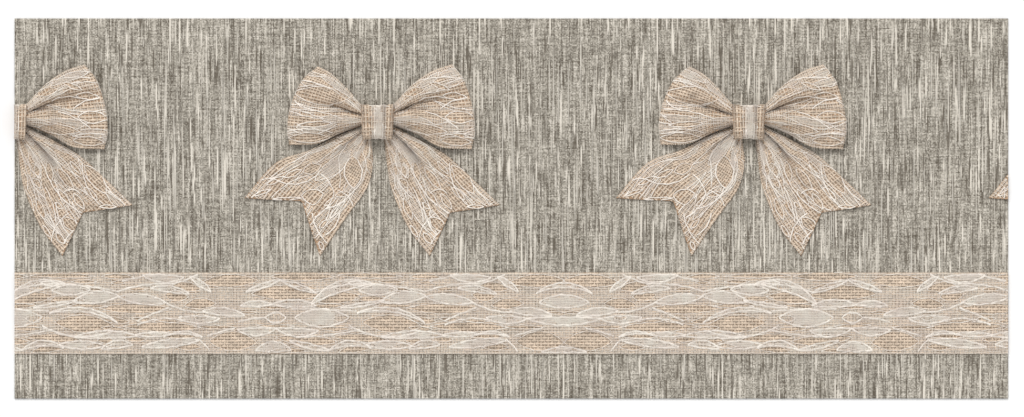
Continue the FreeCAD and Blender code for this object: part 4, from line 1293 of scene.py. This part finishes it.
def finished(pieces):
    """Takes pieces and does nothing with them."""
    for piece in pieces:
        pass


def build_part(bow, part, x, settings):
    """One loop or tail of a bow, with its lace, bending from the knot."""
    _, ribbon_settings, lace_settings = settings
    body = f"{bow}_{part}"
    width = ribbon_settings.width / MM
    seed = sum(map(ord, body))
    loop = part in LOOPS
    shape = (LOOPS if loop else TAILS)[part]
    ribbon = (loop_ribbon if loop else tail_ribbon)(x, shape, width)
    # Base sheet in painted shade, seen between the yarns
    base = base_cloth(body + "_base", ribbon, materials()["Painted jute shade"], 90 if loop else 60, 44)
    yarns = weave(body, ribbon, ribbon_settings, seed, BOW_YARNS)
    net = bow_lace(body + "_lace", ribbon, lace_settings, x, shape, seed)
    for piece in (base, *yarns, *net):
        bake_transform(piece)
    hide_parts(body)
    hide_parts(body + "_lace")
    finished((base, *yarns))
    finished(net)
    flat = (width * MM, ribbon.length * MM)
    area = None if loop else flat[0] * flat[1] * float(ribbon.limit(np.linspace(0, 1, 101)).mean())


def build_bow(bow, settings, cut=None):
    """A bow: its knot and what it holds, its loops and tails. A cut bow keeps what lies right of the cut."""
    _, ribbon_settings, lace_settings = settings
    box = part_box(f"{bow}_knot_wrap")
    x = float(box[1][0]) / MM - KNOT_REACH
    low, high = float(box[0][0]) / MM - x, 17.2
    low = low if cut else low - 1.0
    parts = ["right_loop", "right_tail"] if cut else ["left_loop", "left_tail", "right_loop", "right_tail"]
    for part in parts:
        build_part(bow, part, x, settings)
    ribbon = knot_ribbon(x, low, high, low if cut else 1.75)
    # Base sheet in painted shade, seen between the yarns
    base = base_cloth(f"{bow}_knot_base", ribbon, materials()["Painted jute shade"], 100, 16)
    yarns = weave(f"{bow}_knot", ribbon, ribbon_settings, 21, BOW_YARNS)
    lines = [(*arc(*cord), 1.0) for cord in KNOT_CORDS]
    net = lace(f"{bow}_knot_lace", ribbon, lace_settings, (x, BOW_Y), lines, KNOT_GAPS, KNOT_FILL, 1.0, 9)
    middle = gathered_middle(f"{bow}_middle", x, low if cut else low + 1.0, 16.0)
    wound = binding(f"{bow}_binding", x, low + 2.0 if cut else -1.0, 13.8 if cut else 4.6)
    lower, upper = (np.array(corner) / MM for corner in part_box(f"{bow}_tack_stitches"))
    centre = (lower + upper) / 2.0
    down = -1.0 if centre[2] < 0.5 else 1.0
    spots = [((centre[0], centre[1] + 5.0 * k, centre[2]), (1.0, 0.0, 0.0)) for k in (-1, 0, 1)]
    tacks = stitches(f"{bow}_tacks", spots, 7.0, 0.6, 0.25, 0.1, (0.0, 0.0, down))
    for piece in (base, *yarns, *net, middle, wound, tacks):
        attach(piece, "runner")
    for piece, node, slot in ((yarns[0], "knot_wrap", "jute"), (net[0], "knot_lace", "lace"),
                              (middle, "gathered_middle", "jute"), (wound, "binding_thread", "thread"),
                              (tacks, "tack_stitches", "thread")):
        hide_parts(f"{bow}_{node}")
    finished((base, yarns[1]))
    finished(net[1:])


# ---------------------------------------------------------------- Tail tip at the right edge


def build_edge_tail(settings):
    """The tip of a tail, cut by the runner's right edge and sewn there."""
    _, ribbon_settings, lace_settings = settings
    shape = TAILS["left_tail"]
    x = float(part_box("edge_tail")[0][0]) / MM - shape["back"][-1][0]
    ribbon = tail_ribbon(x, shape, ribbon_settings.width / MM).cut(CLOTH_LENGTH / 2.0)
    # Base sheet in painted shade, seen between the yarns
    base = base_cloth("edge_tail_base", ribbon, materials()["Painted jute shade"], 16, 20)
    yarns = weave("edge_tail", ribbon, ribbon_settings, 31, BOW_YARNS)
    net = bow_lace("edge_tail_lace", ribbon, lace_settings, x, shape, 31)
    low, high = (np.array(corner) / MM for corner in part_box("edge_tail_stitches"))
    spots = [((CLOTH_LENGTH / 2.0 - 2.2, y, high[2]), (1.0, 0.0, 0.0))
             for y in np.linspace(low[1], high[1], 4)]
    sewn = stitches("edge_tail_stitches", spots, 3.8, 0.6, 0.35, 0.5)
    for piece in (base, *yarns, *net, sewn):
        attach(piece, "edge_tail")
    finished((base, *yarns))
    finished(net)
    finished([sewn])
    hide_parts("edge_tail")
    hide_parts("edge_tail_lace")
    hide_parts("edge_tail_stitches")


# ---------------------------------------------------------------- Studio


def build_studio(settings):
    """A pale floor, a soft sun from the back edge, light from all round, and the camera straight above."""
    scene = bpy.context.scene
    side = 6.0 / MM
    corners = [(x * side, y * side, -0.6) for x, y in ((-1, -1), (1, -1), (1, 1), (-1, 1))]
    floor = finish_mesh("studio_floor", corners, [(0, 1, 2, 3)], floor_material(settings))
    world = bpy.data.worlds.new("Studio light")
    world.use_nodes = True
    world.node_tree.nodes["Background"].inputs["Color"].default_value = (1.0, 1.0, 1.0, 1.0)
    world.node_tree.nodes["Background"].inputs["Strength"].default_value = settings.fill
    scene.world = world
    lamp = bpy.data.lights.new("Soft sun", "SUN")
    lamp.energy = settings.key
    lamp.angle = math.radians(25.0)
    sun = bpy.data.objects.new("soft_sun", lamp)
    sun.rotation_euler = (math.radians(-42.0), 0.0, math.radians(12.0))
    camera = bpy.data.objects.new("camera", bpy.data.cameras.new("Above"))
    camera.data.type = "ORTHO"
    camera.data.ortho_scale = settings.view_width
    camera.location = (0.6 * MM, 0.0, 2.0)
    for item in (sun, camera):
        scene.collection.objects.link(item)
    scene.camera = camera
    scene.view_settings.view_transform = "Standard"


# ---------------------------------------------------------------- Operators


def all_settings():
    """Settings of the cloth, the ribbons and the lace."""
    scene = bpy.context.scene
    return scene.runner_cloth, scene.runner_ribbon, scene.runner_lace


class RUNNER_OT_cloth(bpy.types.Operator):
    """Builds the slub cloth with its hem, its raised slubs and the hem's stitches"""

    bl_idname = "runner.cloth"
    bl_label = "Slub cloth"

    def execute(self, context):
        settings = context.scene.runner_cloth
        cloth = build_cloth(settings)
        slubs = build_slubs(settings)
        inset = settings.stitch_inset / MM
        half_x, half_y = CLOTH_LENGTH / 2.0 - inset, CLOTH_WIDTH / 2.0 - inset
        spots = rectangle_spots(half_x, half_y, CLOTH_TOP + 0.02, 3.5)
        face = stitches("hem_stitches", spots, 2.3, 0.5, 0.3, 0.2)
        spots = rectangle_spots(half_x, half_y, -0.02, 3.5)
        under = stitches("hem_stitches_below", spots, 2.3, 0.5, 0.3, 0.2, (0.0, 0.0, -1.0))
        for piece, slot in ((cloth, "slub_cloth"), (slubs, "slub_cloth"), (face, "thread"),
                            (under, "thread")):
            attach(piece, "runner")
        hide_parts("runner_cloth")
        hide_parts("hem_stitching")
        return {"FINISHED"}


class RUNNER_OT_band(bpy.types.Operator):
    """Builds the jute band with its lace and its stitches"""

    bl_idname = "runner.band"
    bl_label = "Jute and lace band"

    def execute(self, context):
        _, ribbon, lace_settings = all_settings()
        base, yarns, net, edges, ends = build_band(ribbon, lace_settings)
        for piece in (base, *yarns, *net, edges, ends):
            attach(piece, "runner")
        finished((base, *yarns))
        finished(net)
        finished((edges, ends))
        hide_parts("band_jute")
        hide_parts("band_lace")
        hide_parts("band_stitching")
        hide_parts("band_end_stitching")
        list(yarns)
        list(net)
        return {"FINISHED"}


class RUNNER_OT_left_bow(bpy.types.Operator):
    """Builds the left whole bow"""

    bl_idname = "runner.left_bow"
    bl_label = "Left bow"

    def execute(self, context):
        build_bow("left_bow", all_settings())
        return {"FINISHED"}


class RUNNER_OT_right_bow(bpy.types.Operator):
    """Builds the right whole bow"""

    bl_idname = "runner.right_bow"
    bl_label = "Right bow"

    def execute(self, context):
        build_bow("right_bow", all_settings())
        return {"FINISHED"}


class RUNNER_OT_edge_bow(bpy.types.Operator):
    """Builds the right part of the bow that the left edge cuts"""

    bl_idname = "runner.edge_bow"
    bl_label = "Bow at the left edge"

    def execute(self, context):
        build_bow("edge_bow", all_settings(), cut=True)
        return {"FINISHED"}


class RUNNER_OT_edge_tail(bpy.types.Operator):
    """Builds the tail tip at the right edge"""

    bl_idname = "runner.edge_tail"
    bl_label = "Tail tip at the right edge"

    def execute(self, context):
        build_edge_tail(all_settings())
        return {"FINISHED"}


class RUNNER_OT_studio(bpy.types.Operator):
    """Builds the floor, the light and the camera"""

    bl_idname = "runner.studio"
    bl_label = "Studio"

    def execute(self, context):
        build_studio(context.scene.runner_studio)
        return {"FINISHED"}


class RUNNER_PT_panel(bpy.types.Panel):
    """Builds the runner piece by piece"""

    bl_idname = "RUNNER_PT_panel"
    bl_label = "Table runner"
    bl_space_type = "VIEW_3D"
    bl_region_type = "UI"
    bl_category = "Runner"

    def draw(self, context):
        for operator in OPERATORS:
            self.layout.operator(operator.bl_idname)
        for group in SETTINGS:
            box = self.layout.box()
            for name in SETTINGS[group].__annotations__:
                box.prop(getattr(context.scene, group), name)


OPERATORS = (RUNNER_OT_cloth, RUNNER_OT_band, RUNNER_OT_left_bow, RUNNER_OT_right_bow, RUNNER_OT_edge_bow,
             RUNNER_OT_edge_tail, RUNNER_OT_studio)
SETTINGS = {"runner_cloth": ClothSettings, "runner_ribbon": RibbonSettings, "runner_lace": LaceSettings,
            "runner_studio": StudioSettings}


def register():
    """Adds the settings, operators and panel."""
    for group in (*SETTINGS.values(), *OPERATORS, RUNNER_PT_panel):
        bpy.utils.register_class(group)
    for name, group in SETTINGS.items():
        setattr(bpy.types.Scene, name, PointerProperty(type=group))


def unregister():
    """Removes the settings, operators and panel."""
    for name in SETTINGS:
        delattr(bpy.types.Scene, name)
    for group in (RUNNER_PT_panel, *reversed(OPERATORS), *reversed(list(SETTINGS.values()))):
        bpy.utils.unregister_class(group)


def main():
    """Builds every piece in order."""
    register()
    for make in (bpy.ops.runner.cloth, bpy.ops.runner.band, bpy.ops.runner.left_bow, bpy.ops.runner.right_bow,
                 bpy.ops.runner.edge_bow, bpy.ops.runner.edge_tail, bpy.ops.runner.studio):
        make()


if __name__ == "__main__":
    main()
